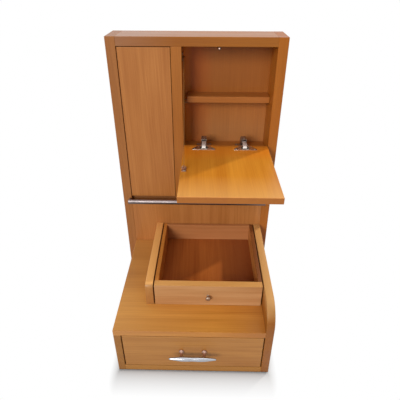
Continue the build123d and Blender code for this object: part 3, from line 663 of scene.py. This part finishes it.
THIN = {"figure": 0.6, "fibre": 0.7, "rough": (0.42, 0.56)}
PLAIN = ((206, 158, 104), (178, 126, 78),
         {"figure": 0.35, "fibre": 0.5, "rough": (0.46, 0.6), "coat": 0.05})
boards = {
    # node: grain direction, place in the log, early wood, late wood, settings of its own
    # top board: paler towards the left, a painted sheen
    "top_board": ("x", (0.5, 0.2, 0.35), (163, 98, 20), (142, 80, 14),
                  {"figure": 0.6, "coat": 0.24, "veils": [([("x", -0.05, -0.2)], 0.4, (146, 112, 92))]}),
    # left side: a bluer, less saturated tone than the right side, partly a painted sheen
    "side_panel_left": ("z", (0.7, 0.3, 0.1), (168, 109, 56), (148, 91, 42), {}),
    "side_panel_right": ("z", (-0.72, 0.25, 0.7), (178, 106, 30), (158, 88, 18), {}),
    "divider": ("z", (0.5, 0.31, 0.9), (172, 106, 40), (148, 86, 28), {}),
    "back_panel": ("z", (0.75, 0.22, 0.3), (170, 101, 36), (151, 86, 24), {**THIN, "veils": back_veils}),
    "door_panel": ("z", (0.62, 0.1, 0.4), (184, 121, 62), (162, 99, 45), {"figure": 0.7}),
    "door_bay_floor": ("x", (0.53, 0.71, 0.43), EARLY, LATE, {"veils": [BAY_EDGE_SHADE]}),
    "flap_panel": ("y", (0.55, 0.12, 0.2), (208, 139, 43), (186, 114, 28),
                   {"figure": 0.7, "end_grain": 0.6, "veils": flap_veils}),
    "flap_bay_floor": ("x", (0.6, 0.5, 0.21), (176, 110, 44), (152, 90, 32), {}),
    "flap_bay_shelf": ("x", (0.7, 0.54, 0.33), (178, 110, 48), (154, 90, 34), {}),
    "blind_panel": ("x", (0.51, 0.22, 0.13), (184, 118, 56), (162, 98, 42), {}),
    "lower_panel": ("z", (0.74, 0.18, 0.6), (188, 124, 67), (166, 105, 52), {"figure": 0.7}),
    "step_board": ("x", (0.1, 0.62, 0.37), (224, 156, 65), (196, 126, 43),
                   {"figure": 0.8, "veils": step_veils}),
    "base_side_left": ("y", (0.33, 0.6, 0.8), EARLY, LATE, {"veils": [UNDER_EDGE_SHADE]}),
    "base_bottom": ("x", (0.3, 0.81, 0.6), EARLY, LATE, {"veils": [UNDER_EDGE_SHADE]}),
    "tray_front": ("x", (0.5, 0.18, 0.19), (204, 157, 108), (180, 128, 80),
                   {"figure": 0.7, "veils": [([("z", tray_front_high.z - 0.0015, tray_front_high.z - 0.0005)],
                                              0.6, (200, 142, 66))]}),
    "tray_side_left": ("y", (0.5, 0.16, 0.3), (202, 132, 58), (178, 106, 38), {}),
    # right tray side: darker along its rim, a painted shadow of the flank
    "tray_side_right": ("y", (0.7, 0.19, 0.5), (196, 134, 70), (170, 108, 48),
                        {"veils": [([("z", tray_rim - 0.006, tray_rim - 0.001)], 0.85, (104, 54, 26))]}),
    "tray_back": ("x", (0.4, 0.2, 0.2), (190, 128, 80), (163, 102, 54), {}),
    # tray bottom: darker towards the right, a painted shadow of the right wall and flank
    "tray_bottom": ("y", (0.64, 0.2, 0.5), (180, 104, 46), (146, 74, 26),
                    {**THIN, "veils": [([("x", 0.04, 0.13)], 0.6, (126, 66, 34))]}),
    "tray_runners": ("y", (0.6, 0.6, 0.1), *PLAIN),
    "tray_guide": ("y", (0.1, 0.3, 0.7), *PLAIN),
    "drawer_front": ("x", (0.17, 0.14, 0.16), (186, 131, 68), (159, 103, 46), {"figure": 0.7}),
    "drawer_side_left": ("y", (0.5, 0.1, 0.6), *PLAIN),
    "drawer_side_right": ("y", (0.9, 0.4, 0.2), *PLAIN),
    "drawer_back": ("x", (0.2, 0.9, 0.5), *PLAIN),
    "drawer_bottom": ("y", (0.3, -0.4, 0.15), (190, 136, 84), (150, 98, 54), THIN),
}
for node, (along, shift, early, late, settings) in boards.items():
    stained_wood(node + "_wood", along, shift, early, late, **settings)
    dress(node, node + "_wood")

# ---- finishes of the fittings ----
metals = {
    # name: colour, roughness, way of the hairlines, hairlines, smudges, relief, painted shade under it
    # the rail's underside is darker, a painted shade
    "rail_steel": ((150, 138, 136), 0.34, "x", 0.6, 0.1, 0.04, 0.85),
    "pull_chrome": ((172, 174, 180), 0.2, "x", 0.2, 0.06),
    # the feet's pinkish tint paints the wood's reflection in their chrome
    "foot_chrome_wood_reflection": ((184, 150, 134), 0.32, "x", 0.2, 0.08),
    "knob_nickel": ((164, 142, 124), 0.42, "y"),
    "hinge_nickel": ((204, 192, 178), 0.22, "x", 0.4, 0.1),
    "hinge_link_zinc": ((226, 216, 208), 0.5, "x", 0.4, 0.1),
    "hinge_arm_nickel": ((146, 132, 122), 0.32, "y", 0.4, 0.12),
    "pin_brass": ((128, 88, 52), 0.4),
    "chain_brass": ((146, 98, 52), 0.35, "z", 0.2, 0.1),
    "eye_bronze": ((150, 114, 94), 0.4, "z"),
    "anchor_bronze": ((104, 66, 38), 0.5, "z"),
    "fastener_steel": ((158, 150, 142), 0.34, "z", 0.3, 0.12),
    # the catch body is dark to paint the shade it sits in under the top board
    "catch_painted_shade": ((88, 58, 40), 0.5, "y", 0.3, 0.12),
    "strike_brass": ((222, 164, 88), 0.6, "y"),
    "magnet_nickel": ((240, 206, 188), 0.5, "y", 0.2, 0.08),
}
for name, settings in metals.items():
    worked_metal(name, *settings)
moulded_plastic("glide_plastic", (46, 40, 36), 0.5)

for node, finish in (("slide_channels", "fastener_steel"), ("slide_members", "fastener_steel"),
                     ("shelf_pins", "pin_brass"), ("rail_bolts", "fastener_steel")):
    dress(node, finish)


# ---- boards with a large round at the upper front corner ----
def rounded_board(name, node, radius, steps, shift, early, late, end_grain, veils):
    """An upright board along Y whose upper front corner is rounded, with eased sides, and its wood."""
    low, high, _ = in_mm(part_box(node))
    shape = block(low, high)
    corner = [edge for edge in shape.edges
              if all(abs(vert.co.y / MM - low.y) < 0.01 and abs(vert.co.z / MM - high.z) < 0.01
                     for vert in edge.verts)]
    bmesh.ops.bevel(shape, geom=corner, offset=radius * MM, segments=steps, profile=0.5, affect="EDGES",
                    material=-1)
    stained_wood(name + "_wood", "y", shift, early, late, 0.42, end_grain=end_grain, veils=veils)
    piece(name, eased(shape, board_ease, 3, 60), "carcass", name + "_wood", "cabinet_wood", node,
          smooth_below=30)


# flank: lighter at its top, painted light from above; painted shadow along its foot
rounded_board("flank_board", "base_side_right", flank_round, 28, (0.5, 0.27, 0.9), (162, 102, 38),
              (140, 82, 26), 0.95, [([("z", 0.19, 0.245)], 0.8, PALE_LIGHT_AND_WEAR), UNDER_EDGE_SHADE])
# cheek: lighter along its top, painted light from above
rounded_board("cheek_board", "tray_cheek", cheek_round, 14, (0.2, 0.18, 0.4), (192, 142, 86), (166, 114, 66),
              1.0, [([("z", cheek_top - 0.004, cheek_top - 0.0005)], 0.9, (242, 178, 102))])


# ---- rail across the front ----
rail_low, rail_high, rail = in_mm(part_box("front_rail"))
rail_half = (rail_high.x - rail_low.x) / 2
rail_shape = turned(cylinder(rail_radius, -rail_half, rail_half), 64, 1.0, 4, 60)
piece("rail_bar", moved(placed(rail_shape, ALONG_X), 0, rail.y, rail.z), "carcass", "rail_steel",
      "rail_steel", "front_rail")

post_high = in_mm(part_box("rail_posts"))[1]
post_x = post_high.x - rail_post_radius
post_length = post_high.y - rail.y
post_neck = rail_post_radius - rail_post_step
collar = [(0, 0), (rail_post_radius, 0), (rail_post_radius, post_length - 1.6),
          (post_neck, post_length - 1.2), (post_neck, post_length), (0, post_length)]
posts = [moved(placed(turned(collar, 32), FACE_BACK), side * post_x, rail.y, rail.z) for side in (-1, 1)]
piece("rail_collars", joined(posts), "carcass", "rail_steel", "rail_steel", "rail_posts")


# ---- cleat handle: a bar whose horns taper from the middle, on two turned feet ----
drawer_front = drawer_front_y / MM
cleat_low, cleat_high, cleat = in_mm(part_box("cleat_handle"))
cleat_y = cleat_low.y + cleat_bar_radius
cleat_half = (cleat_high.x - cleat_low.x) / 2
cleat_reach = drawer_front - cleat_y
horn = [(0, -cleat_half), (0.9, -cleat_half + 0.15), (1.7, -cleat_half + 0.9), (2.6, -cleat_half + 2.6),
        (3.45, -50), (4.6, -41), (5.55, -33), (6.0, -27), (6.18, -21), (6.18, -14.5), (5.95, -8), (5.7, -3.5),
        (5.6, 0)]
bar_profile = horn + [(radius, -height) for radius, height in reversed(horn[:-1])]
bar_shape = moved(placed(turned(bar_profile, 48), ALONG_X), cleat.x, cleat_y, cleat.z)
foot = [(0, 0), (cleat_foot_radius - 0.5, 0), (cleat_foot_radius, 0.6), (cleat_foot_radius, 2.0), (6.1, 3.1),
        (5.0, 4.6), (4.2, 6.4), (cleat_post_radius, cleat_foot_length),
        (cleat_post_radius, cleat_reach - 6.8), (3.9, cleat_reach - 5.4), (4.4, cleat_reach - 4.0),
        (0, cleat_reach - 2.0)]
cleat_posts = [moved(placed(turned(foot, 32), ALONG_FRONT), cleat.x + side * cleat_post_x, drawer_front,
                     cleat.z) for side in (-1, 1)]
piece("cleat_pull", bar_shape, "drawer", "pull_chrome", "pull_chrome", "cleat_handle", smooth_below=50)
piece("cleat_feet", joined(cleat_posts), "drawer", "foot_chrome_wood_reflection", "pull_chrome", smooth_below=50)

# ---- knob of the tray ----
knob = in_mm(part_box("tray_knob"))[2]
knob_profile = [(0, 0), (4.0, 0), (4.3, 0.4), (4.1, 0.9), (3.4, 1.7), (3.05, 2.8), (2.95, 4.8), (3.3, 6.1),
                (4.6, 7.3), (5.9, 8.3), (6.4, 9.5), (6.45, 11.3), (6.1, 12.9), (5.2, 13.9), (4.0, 14.3),
                (2.0, 14.48), (0, 14.5)]
knob_shape = placed(turned(knob_profile, 40), ALONG_FRONT)
piece("knob", moved(knob_shape, knob.x, tray_front_low.y / MM, knob.z), "tray", "knob_nickel", "pull_chrome",
      "tray_knob", smooth_below=60)


# ---- concealed hinges: x along the hinge line, y into the cabinet, z off the board that carries the arm ----
def cup_shape():
    """Flange with its well, and the cup let into the panel, with the pin across it."""
    wing_end = flange_front + flange_wing
    outline = [(-flange_half, flange_front), (flange_half, flange_front), (flange_half, wing_end),
               (flange_neck, flange_back), (-flange_neck, flange_back), (-flange_half, wing_end)]
    inner = cup_radius - cup_wall
    flange = drawn_out(outline, panel_open_face, panel_open_face + flange_thickness, 0.35, 2,
                       (0, cup_middle, inner), 40)
    well = [(inner, -0.2), (inner, -cup_depth + 1.6), (inner - 1.0, -cup_depth + 0.9), (0, -cup_depth + 0.9),
            (0, -cup_depth), (cup_radius - 0.8, -cup_depth), (cup_radius, -cup_depth + 0.8),
            (cup_radius, -0.2), (inner, -0.2)]
    cup = moved(turned(well, 40), 0, cup_middle, panel_open_face)
    pin = placed(turned(cylinder(cup_pin_radius, -cup_pin_half, cup_pin_half), 20), ALONG_X)
    return joined([flange, cup, moved(pin, 0, *link_pin)])


def link_shape():
    """Swan-necked link from the pin in the cup over the panel's edge into the arm."""
    pin_y, pin_z = link_pin
    face, edge = panel_open_face, pin_y + link_head_radius
    under = face + link_rise
    over = under + link_thickness
    outline = [(edge, pin_z), (edge, face), (edge + link_rise, under), (link_tail, under), (link_tail, over),
               (edge, over), (pin_y - link_head_radius, face), (pin_y - link_head_radius, pin_z)]
    neck = placed(drawn_out(outline, -link_half, link_half, 0.7, 3), NEXT_AXES)
    head = placed(turned(cylinder(link_head_radius, -link_half, link_half), 28, 0.4), ALONG_X)
    return joined([neck, moved(head, 0, pin_y, pin_z)])


def arm_shape():
    """Folded channel that takes the link's tail and clips on to its plate."""
    roof = arm_top - arm_sheet
    outline = [(arm_front, arm_low), (arm_front, arm_top - 1.0), (arm_front + 1.0, arm_top),
               (arm_level_end, arm_top), (arm_end - 1.0, arm_foot + 0.8), (arm_end, arm_foot - 0.6),
               (arm_end, plate_height), (46.0, plate_height), (35.0, arm_low)]
    sheets = []
    for side in (-1, 1):
        low, high = sorted((side * arm_half, side * (arm_half - arm_sheet)))
        sheets.append(placed(drawn_out(outline, low, high, 0.25), NEXT_AXES))
    roof_line = [(arm_front + 0.1, roof), (arm_front + 0.1, arm_top - 0.05), (arm_level_end, arm_top - 0.05),
                 (arm_end - 0.8, arm_foot + 0.5), (arm_end - 0.1, arm_foot - 0.6),
                 (arm_end - 0.1, plate_height + 0.2), (arm_end - arm_sheet, plate_height + 0.2),
                 (arm_end - arm_sheet, arm_foot - 1.2), (arm_level_end - 0.6, roof)]
    sheets.append(placed(drawn_out(roof_line, -arm_half + 0.3, arm_half - 0.3, 0.2), NEXT_AXES))
    adjuster = turned([(0, 0), (2.9, 0), (2.9, 0.7), (2.5, 1.1), (0, 1.1)], 24)
    sheets.append(moved(adjuster, 0, adjuster_y, arm_top - 0.2))
    return joined(sheets)


def plate_shape():
    """Plate on the carcass board with a saddle for the arm."""
    saddle_front, wing_end = plate_end - plate_length, plate_end - plate_wing_inset
    wing_front = wing_end - plate_wing_length
    saddle = block((-saddle_half, saddle_front, 0), (saddle_half, plate_end, plate_height - 0.2), 0.6)
    wings = block((-plate_half, wing_front, 0), (plate_half, wing_end, plate_wing_height), 1.1, 3)
    return joined([saddle, wings])


def on_flap(hinge_x):
    """The place of a hinge on the flap bay's floor."""
    return Matrix.Translation((hinge_x * MM, side_low.y, flap_bay_floor_top))


def on_door(hinge_z):
    """The place of a hinge on the left side panel."""
    across = Matrix(((0, 0, 1, 0), (0, 1, 0, 0), (-1, 0, 0, 0), (0, 0, 0, 1)))
    return Matrix.Translation((side_high.x, side_low.y, hinge_z * MM)) @ across


# what takes a cup and a link from an open panel to a shut one
pivot = Vector((0, *panel_pivot)) * MM
cup_shut = Matrix.Translation(pivot) @ FACE_BACK @ Matrix.Translation(-pivot)
link_shut = Matrix.Translation(Vector((0, *link_shut_shift)) * MM)

flap_plates_low, flap_plates_high, _ = in_mm(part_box("flap_hinge_plates"))
flap_hinges = [on_flap(flap_plates_low.x + plate_half), on_flap(flap_plates_high.x - plate_half)]
door_plates_low, door_plates_high, _ = in_mm(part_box("door_hinge_plates"))
door_hinges = [on_door(door_plates_low.z + plate_half), on_door(door_plates_high.z - plate_half)]


def hinge_pieces(family, panel, places, cup_turn, link_move):
    """Cups, links, arms and plates of one panel's two hinges."""
    parts = (("cups", cup_shape, panel, cup_turn, "hinge_nickel"),
             ("links", link_shape, panel + "_links", link_move, "hinge_link_zinc"),
             ("arms", arm_shape, "carcass", UNTURNED, "hinge_arm_nickel"),
             ("plates", plate_shape, "carcass", UNTURNED, "hinge_arm_nickel"))
    for part, make, body, turn, finish in parts:
        shapes = [placed(make(), place @ turn) for place in places]
        piece(f"{family}_{part}", joined(shapes), body, finish, "hinge_nickel", f"{panel}_hinge_{part}")


hinge_pieces("drop_hinge", "flap", flap_hinges, UNTURNED, UNTURNED)
hinge_pieces("side_hinge", "door", door_hinges, cup_shut, link_shut)


# ---- screws with a cross recess ----
def screw_heads(name, seats, body, node, size=small_screw):
    """Low domed heads with a cross recess; each seat is a matrix whose Z leaves the face."""
    radius, height = size
    dome = [(0, -0.4), (radius, -0.4), (radius, height * 0.25), (radius * 0.9, height * 0.62),
            (radius * 0.62, height * 0.9), (radius * 0.3, height), (0, height)]
    heads = joined([placed(turned(dome, 20), at) for at in seats])
    reach, half = radius * 0.6, radius * 0.14
    corners = (-reach, -half, height * 0.1), (reach, half, height + 1)
    slots = [placed(block(*corners), at @ Matrix.Rotation(turn, 4, "Z"))
             for at in seats for turn in (0, QUARTER_TURN)]
    cutter = shown("recesses", mesh_of(joined(slots), "recesses"))
    made = piece(name, heads, body, "fastener_steel", "fastener_steel", node, smooth_below=30)
    cut = made.modifiers.new("recess", "BOOLEAN")
    cut.operation = "DIFFERENCE"
    cut.solver = "EXACT"
    cut.use_self = True
    cut.object = cutter
    result = bpy.data.meshes.new_from_object(made.evaluated_get(bpy.context.evaluated_depsgraph_get()))
    made.modifiers.clear()
    made.data = result
    result.set_sharp_from_angle(angle=math.radians(30))
    bpy.data.objects.remove(cutter)


def seat(x, y, z, turn=UNTURNED):
    """A screw's place in millimetres, and the way it faces."""
    return Matrix.Translation(Vector((x, y, z)) * MM) @ turn


flange_top = panel_open_face + flange_thickness
cup_seats = [seat(side * flange_screw[0], flange_screw[1], flange_top) for side in (-1, 1)]
plate_seats = [seat(side * plate_screw[0], plate_screw[1], plate_wing_height) for side in (-1, 1)]

eye_low, eye_high, eye = in_mm(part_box("chain_eye"))
eye_ring_z = eye_high.z - eye_hole_radius - bracket_sheet
anchor_low, anchor_high, anchor = in_mm(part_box("chain_anchor"))
anchor_ring_x = anchor_high.x - anchor_hole_radius - bracket_sheet
spread = bracket_length / 2 - bracket_screw_inset

eye_seats = [seat(eye.x, eye.y + side * spread, eye_low.z + bracket_sheet) for side in (-1, 1)]
anchor_seats = [seat(anchor_low.x + bracket_sheet, anchor.y, anchor.z + side * spread, ALONG_X)
                for side in (-1, 1)]
screw_heads("plate_screws", [place @ at for place in flap_hinges + door_hinges for at in plate_seats],
            "carcass", "hinge_plate_screws")
screw_heads("drop_flap_screws", [place @ at for place in flap_hinges for at in cup_seats] + eye_seats, "flap",
            "flap_screws")
screw_heads("door_cup_screws", [place @ cup_shut @ at for place in door_hinges for at in cup_seats],
            "door", "door_screws")


# ---- chain stay: two small brackets and the links between them ----
def bracket(tab_reach, hole_radius, hole_height):
    """Angle bracket: a foot on a face and a tab that stands up from it, with its hole."""
    half, reach = bracket_width / 2, bracket_length / 2
    foot = block((-half, -reach, 0), (half, reach, bracket_sheet), 0.4)
    outline = [(-half, 0.6), (half, 0.6), (half, tab_reach - tab_corner), (half - tab_corner, tab_reach),
               (-half + tab_corner, tab_reach), (-half, tab_reach - tab_corner)]
    tab = drawn_out(outline, -bracket_sheet / 2, bracket_sheet / 2, 0.25, 2, (0, hole_height, hole_radius), 20)
    return joined([foot, placed(tab, ALONG_FRONT)])


eye_bracket = bracket(eye_height, eye_hole_radius, eye_ring_z - eye_low.z)
piece("chain_eye_bracket", moved(eye_bracket, eye.x, eye.y, eye_low.z), "flap", "eye_bronze", "chain_nickel",
      "chain_eye")
anchor_bracket = placed(bracket(anchor_reach, anchor_hole_radius, anchor_ring_x - anchor_low.x), NEXT_AXES)
piece("chain_anchor_bracket", moved(anchor_bracket, anchor_low.x, anchor.y, anchor.z), "carcass",
      "anchor_bronze", "chain_nickel", "chain_anchor")


def chain_link_shape():
    """One oval link, round in section, that lies along Z."""
    shape = bmesh.new()
    middle = (chain_link_width - chain_wire) / 2
    bmesh.ops.create_circle(shape, cap_ends=False, radius=chain_wire / 2 * MM, segments=6,
                            matrix=Matrix.Translation((middle * MM, 0, 0)))
    bmesh.ops.rotate(shape, verts=shape.verts, cent=(0, 0, 0),
                     matrix=Matrix.Rotation(math.radians(15), 3, "Y"))
    bmesh.ops.spin(shape, geom=list(shape.verts) + list(shape.edges), cent=(0, 0, 0), axis=(0, 1, 0),
                   angle=FULL_TURN, steps=12, use_merge=True)
    stretch = (chain_link_length - chain_link_width) / 2 * MM
    for way in (-1, 1):
        half = [vert for vert in shape.verts if vert.co.z * way > 0]
        bmesh.ops.translate(shape, vec=(0, 0, way * stretch), verts=half)
    return cleaned(shape)


chain_top = Vector((anchor_ring_x, anchor.y, anchor.z)) * MM
chain_foot = Vector((eye.x, eye.y, eye_ring_z)) * MM
chain_way = (chain_foot - chain_top).normalized()
chain_length = (chain_foot - chain_top).length
chain_count = round(chain_length / ((chain_link_length - 2 * chain_wire) * MM))
chain_pitch = chain_length / chain_count
lay = chain_way.to_track_quat("Z", "X").to_matrix().to_4x4()
chain_links = []
for number in range(chain_count):
    middle = chain_top + chain_way * chain_pitch * (number + 0.5)
    twist = Matrix.Rotation(link_twist if number % 2 else -link_twist, 4, "Z")
    chain_links.append(placed(chain_link_shape(), Matrix.Translation(middle) @ lay @ twist))
chain = piece("stay_chain", joined(chain_links), None, "chain_brass", "chain_nickel", "flap_chain",
              smooth_below=80)
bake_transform(chain)


# ---- magnet catches and the discs they pull on ----
def catch_pieces(name, node):
    """Magnet in a cup on a neck, under a plate that is screwed to the top board; gives its screws' seats."""
    low, high, middle = in_mm(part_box(node))
    x, z = middle.x, low.z + catch_radius
    depth, half, plate_under = high.y - low.y, catch_neck / 2, high.z - catch_plate_thickness
    cup = [(0, 0.5), (catch_radius - 1.0, 0.5), (catch_radius - 1.0, 0), (catch_radius - 0.3, 0),
           (catch_radius, 0.3), (catch_radius, depth - 0.6), (catch_radius - 0.6, depth), (0, depth)]
    body = moved(placed(turned(cup, 32), FACE_BACK), x, low.y, z)
    plate = block((low.x, low.y + 1.0, plate_under), (high.x, high.y, high.z), 0.5, 3)
    neck = block((x - half, low.y + 1.6, z + 2.0), (x + half, high.y - 0.5, high.z - 0.4), 0.5)
    piece(name, joined([body, plate, neck]), "carcass", "catch_painted_shade", "catch_metal", node)
    magnet = placed(turned(cylinder(magnet_radius, 0.15, 0.5), 32), FACE_BACK)
    piece(name + "_magnet", moved(magnet, x, low.y, z), "carcass", "magnet_nickel", "catch_metal")
    return [seat(x + side * catch_screw[0], low.y + catch_screw[1], plate_under, FACE_DOWN)
            for side in (-1, 1)]


catch_seats = catch_pieces("flap_bay_catch", "flap_catch") + catch_pieces("door_bay_catch", "door_catch")
screw_heads("bracket_screws", anchor_seats + catch_seats, "carcass", "fitting_screws")


def strike_disc(name, node, body, turn):
    """Thin steel disc, flush in the panel, with a small countersunk middle."""
    low, high, middle = in_mm(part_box(node))
    radius, half = (high.x - low.x) / 2, min(high - low) / 2
    face = [(0, -half), (radius, -half), (radius, half - 0.1), (radius - 0.1, half), (1.5, half),
            (0.7, half - 0.4), (0, half - 0.4)]
    piece(name, moved(placed(turned(face, 32), turn), *middle), body, "strike_brass", "fastener_steel", node)


strike_disc("flap_strike_disc", "flap_strike", "flap", UNTURNED)
strike_disc("door_strike_disc", "door_strike", "door", FACE_BACK)


# ---- screws of the back and of the pulls, and the glides ----
def box_seats(node, rows, size, turn):
    """Seats in two columns down a node's box, a head's radius in from its corners."""
    radius, height = size
    low, high, _ = in_mm(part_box(node))
    step = (high.z - low.z - 2 * radius) / (rows - 1)
    return [seat(x, high.y - height, low.z + radius + row * step, turn)
            for x in (low.x + radius, high.x - radius) for row in range(rows)]


screw_heads("back_panel_screws", box_seats("back_screws", 4, back_screw, FACE_BACK), "carcass",
            "back_screws", back_screw)
pull_low, pull_high, _ = in_mm(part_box("cleat_screws"))
pull_seats = [seat(x, pull_high.y - pull_screw[1], cleat.z, FACE_BACK)
              for x in (pull_low.x + pull_screw[0], pull_high.x - pull_screw[0])]
screw_heads("cleat_pull_screws", pull_seats, "drawer", "cleat_screws", pull_screw)
_, knob_screw_high, knob_screw = in_mm(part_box("tray_knob_screw"))
knob_seat = seat(knob_screw.x, knob_screw_high.y - pull_screw[1], knob_screw.z, FACE_BACK)
screw_heads("knob_screw", [knob_seat], "tray", "tray_knob_screw", pull_screw)

glide_low, glide_high, _ = in_mm(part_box("glides"))
glide_height = glide_high.z - glide_low.z
glide_places = [(x, glide_low.y + glide_radius) for x in glide_front_x]
glide_places += [(x, glide_high.y - inset) for x in (glide_low.x + glide_radius, glide_high.x - glide_radius)
                 for inset in (cabinet_glide_inset, glide_radius)]
pad = [(0, 0.3), (4.5, 0.3), (5.5, 0), (glide_radius - 0.9, 0), (glide_radius - 0.2, 0.7),
       (glide_radius, 1.4), (glide_radius, glide_height), (0, glide_height)]
glides = joined([moved(turned(pad, 32), x, y, 0) for x, y in glide_places])
piece("glide_pads", glides, "carcass", "glide_plastic", "glide_plastic", "glides")


# ---- floor, light and camera ----
def background_rays(tree):
    """1 for rays that see the surroundings directly, in a reflection or through glass."""
    path = new_node(tree, "ShaderNodeLightPath").outputs
    seen = math_node(tree, "MAXIMUM", path["Is Camera Ray"], path["Is Glossy Ray"])
    return math_node(tree, "MAXIMUM", seen, path["Is Transmission Ray"])


def blended(tree, share, first, second):
    """A shader that goes from the first to the second as the share goes from 0 to 1."""
    node = new_node(tree, "ShaderNodeMixShader")
    for socket, source in zip(node.inputs, (share, first, second)):
        link(tree, source, socket)
    return node.outputs[0]


def make_floor_finish():
    """Pale and shadowed close to the cabinet, plain white a little way off it."""
    tree, shader = new_finish("pale_floor", Base_Color=floor_color, Roughness=0.85, Specular_IOR_Level=0.2)
    glow = new_node(tree, "ShaderNodeEmission", Color=WHITE)
    spot = axes_of(tree, new_node(tree, "ShaderNodeTexCoord").outputs["Object"])
    squares = []
    for axis, half, factor in shadow_ground:
        beside = math_node(tree, "SUBTRACT", math_node(tree, "ABSOLUTE", spot[axis]), half)
        beside = times(tree, math_node(tree, "MAXIMUM", beside, 0.0), factor)
        squares.append(math_node(tree, "POWER", beside, 2.0))
    clear = math_node(tree, "SQRT", plus(tree, *squares))
    share = math_node(tree, "POWER", ranged(tree, clear, 0.0, shadow_fade), 0.5)
    share = times(tree, background_rays(tree), share)
    surface = blended(tree, share, shader.outputs[0], glow.outputs[0])
    link(tree, surface, tree.nodes["Material Output"].inputs["Surface"])


ground = bmesh.new()
bmesh.ops.create_circle(ground, cap_ends=True, radius=floor_radius, segments=96)
floor = shown("floor", mesh_of(ground, "floor"))
make_floor_finish()
floor.data.materials.append(finishes["pale_floor"])

world = bpy.data.worlds.new("studio")
scene.world = world
world.use_nodes = True
sky = world.node_tree
soft = set_inputs(sky.nodes["Background"], Color=sky_color, Strength=sky_strength)
seen = new_node(sky, "ShaderNodeBackground", Color=WHITE, Strength=1.0)
surroundings = blended(sky, background_rays(sky), soft.outputs[0], seen.outputs[0])
link(sky, surroundings, sky.nodes["World Output"].inputs["Surface"])


def lamp(name, place, target, size, power, color=(1, 1, 1), mirrored=True):
    """A square soft light aimed at a point; one that isn't mirrored leaves no glare on flat lacquer."""
    light = bpy.data.lights.new(name, "AREA")
    light.size, light.energy, light.color = size, power, color
    made = shown(name, light)
    made.location = place
    made.rotation_euler = (Vector(target) - Vector(place)).to_track_quat("-Z", "Y").to_euler()
    made.visible_glossy = mirrored


lamp("key_light", (-2.4, -4.98, 2.84), (0, -0.05, 0.4), 2.5, 272)
lamp("top_light", (0.3, 0.2, 2.2), (0, -0.1, 0.3), 2.4, 19)
lamp("side_light", (2.96, 2.32, 1.87), (0, 0, 0.5), 0.2, 135, (1.0, 0.96, 0.88), mirrored=False)

scene.view_settings.view_transform = "Standard"

optics = bpy.data.cameras.new("camera")
optics.sensor_width = camera_sensor
optics.lens = camera_lens
optics.clip_start, optics.clip_end = 0.01, 100.0
camera = shown("camera", optics)
camera.matrix_world = (Matrix.Translation(camera_place)
                       @ Matrix.Rotation(math.radians(camera_heading), 4, "Z")
                       @ Matrix.Rotation(math.radians(90 - camera_down), 4, "X")
                       @ Matrix.Rotation(math.radians(camera_roll), 4, "Z"))
scene.camera = camera
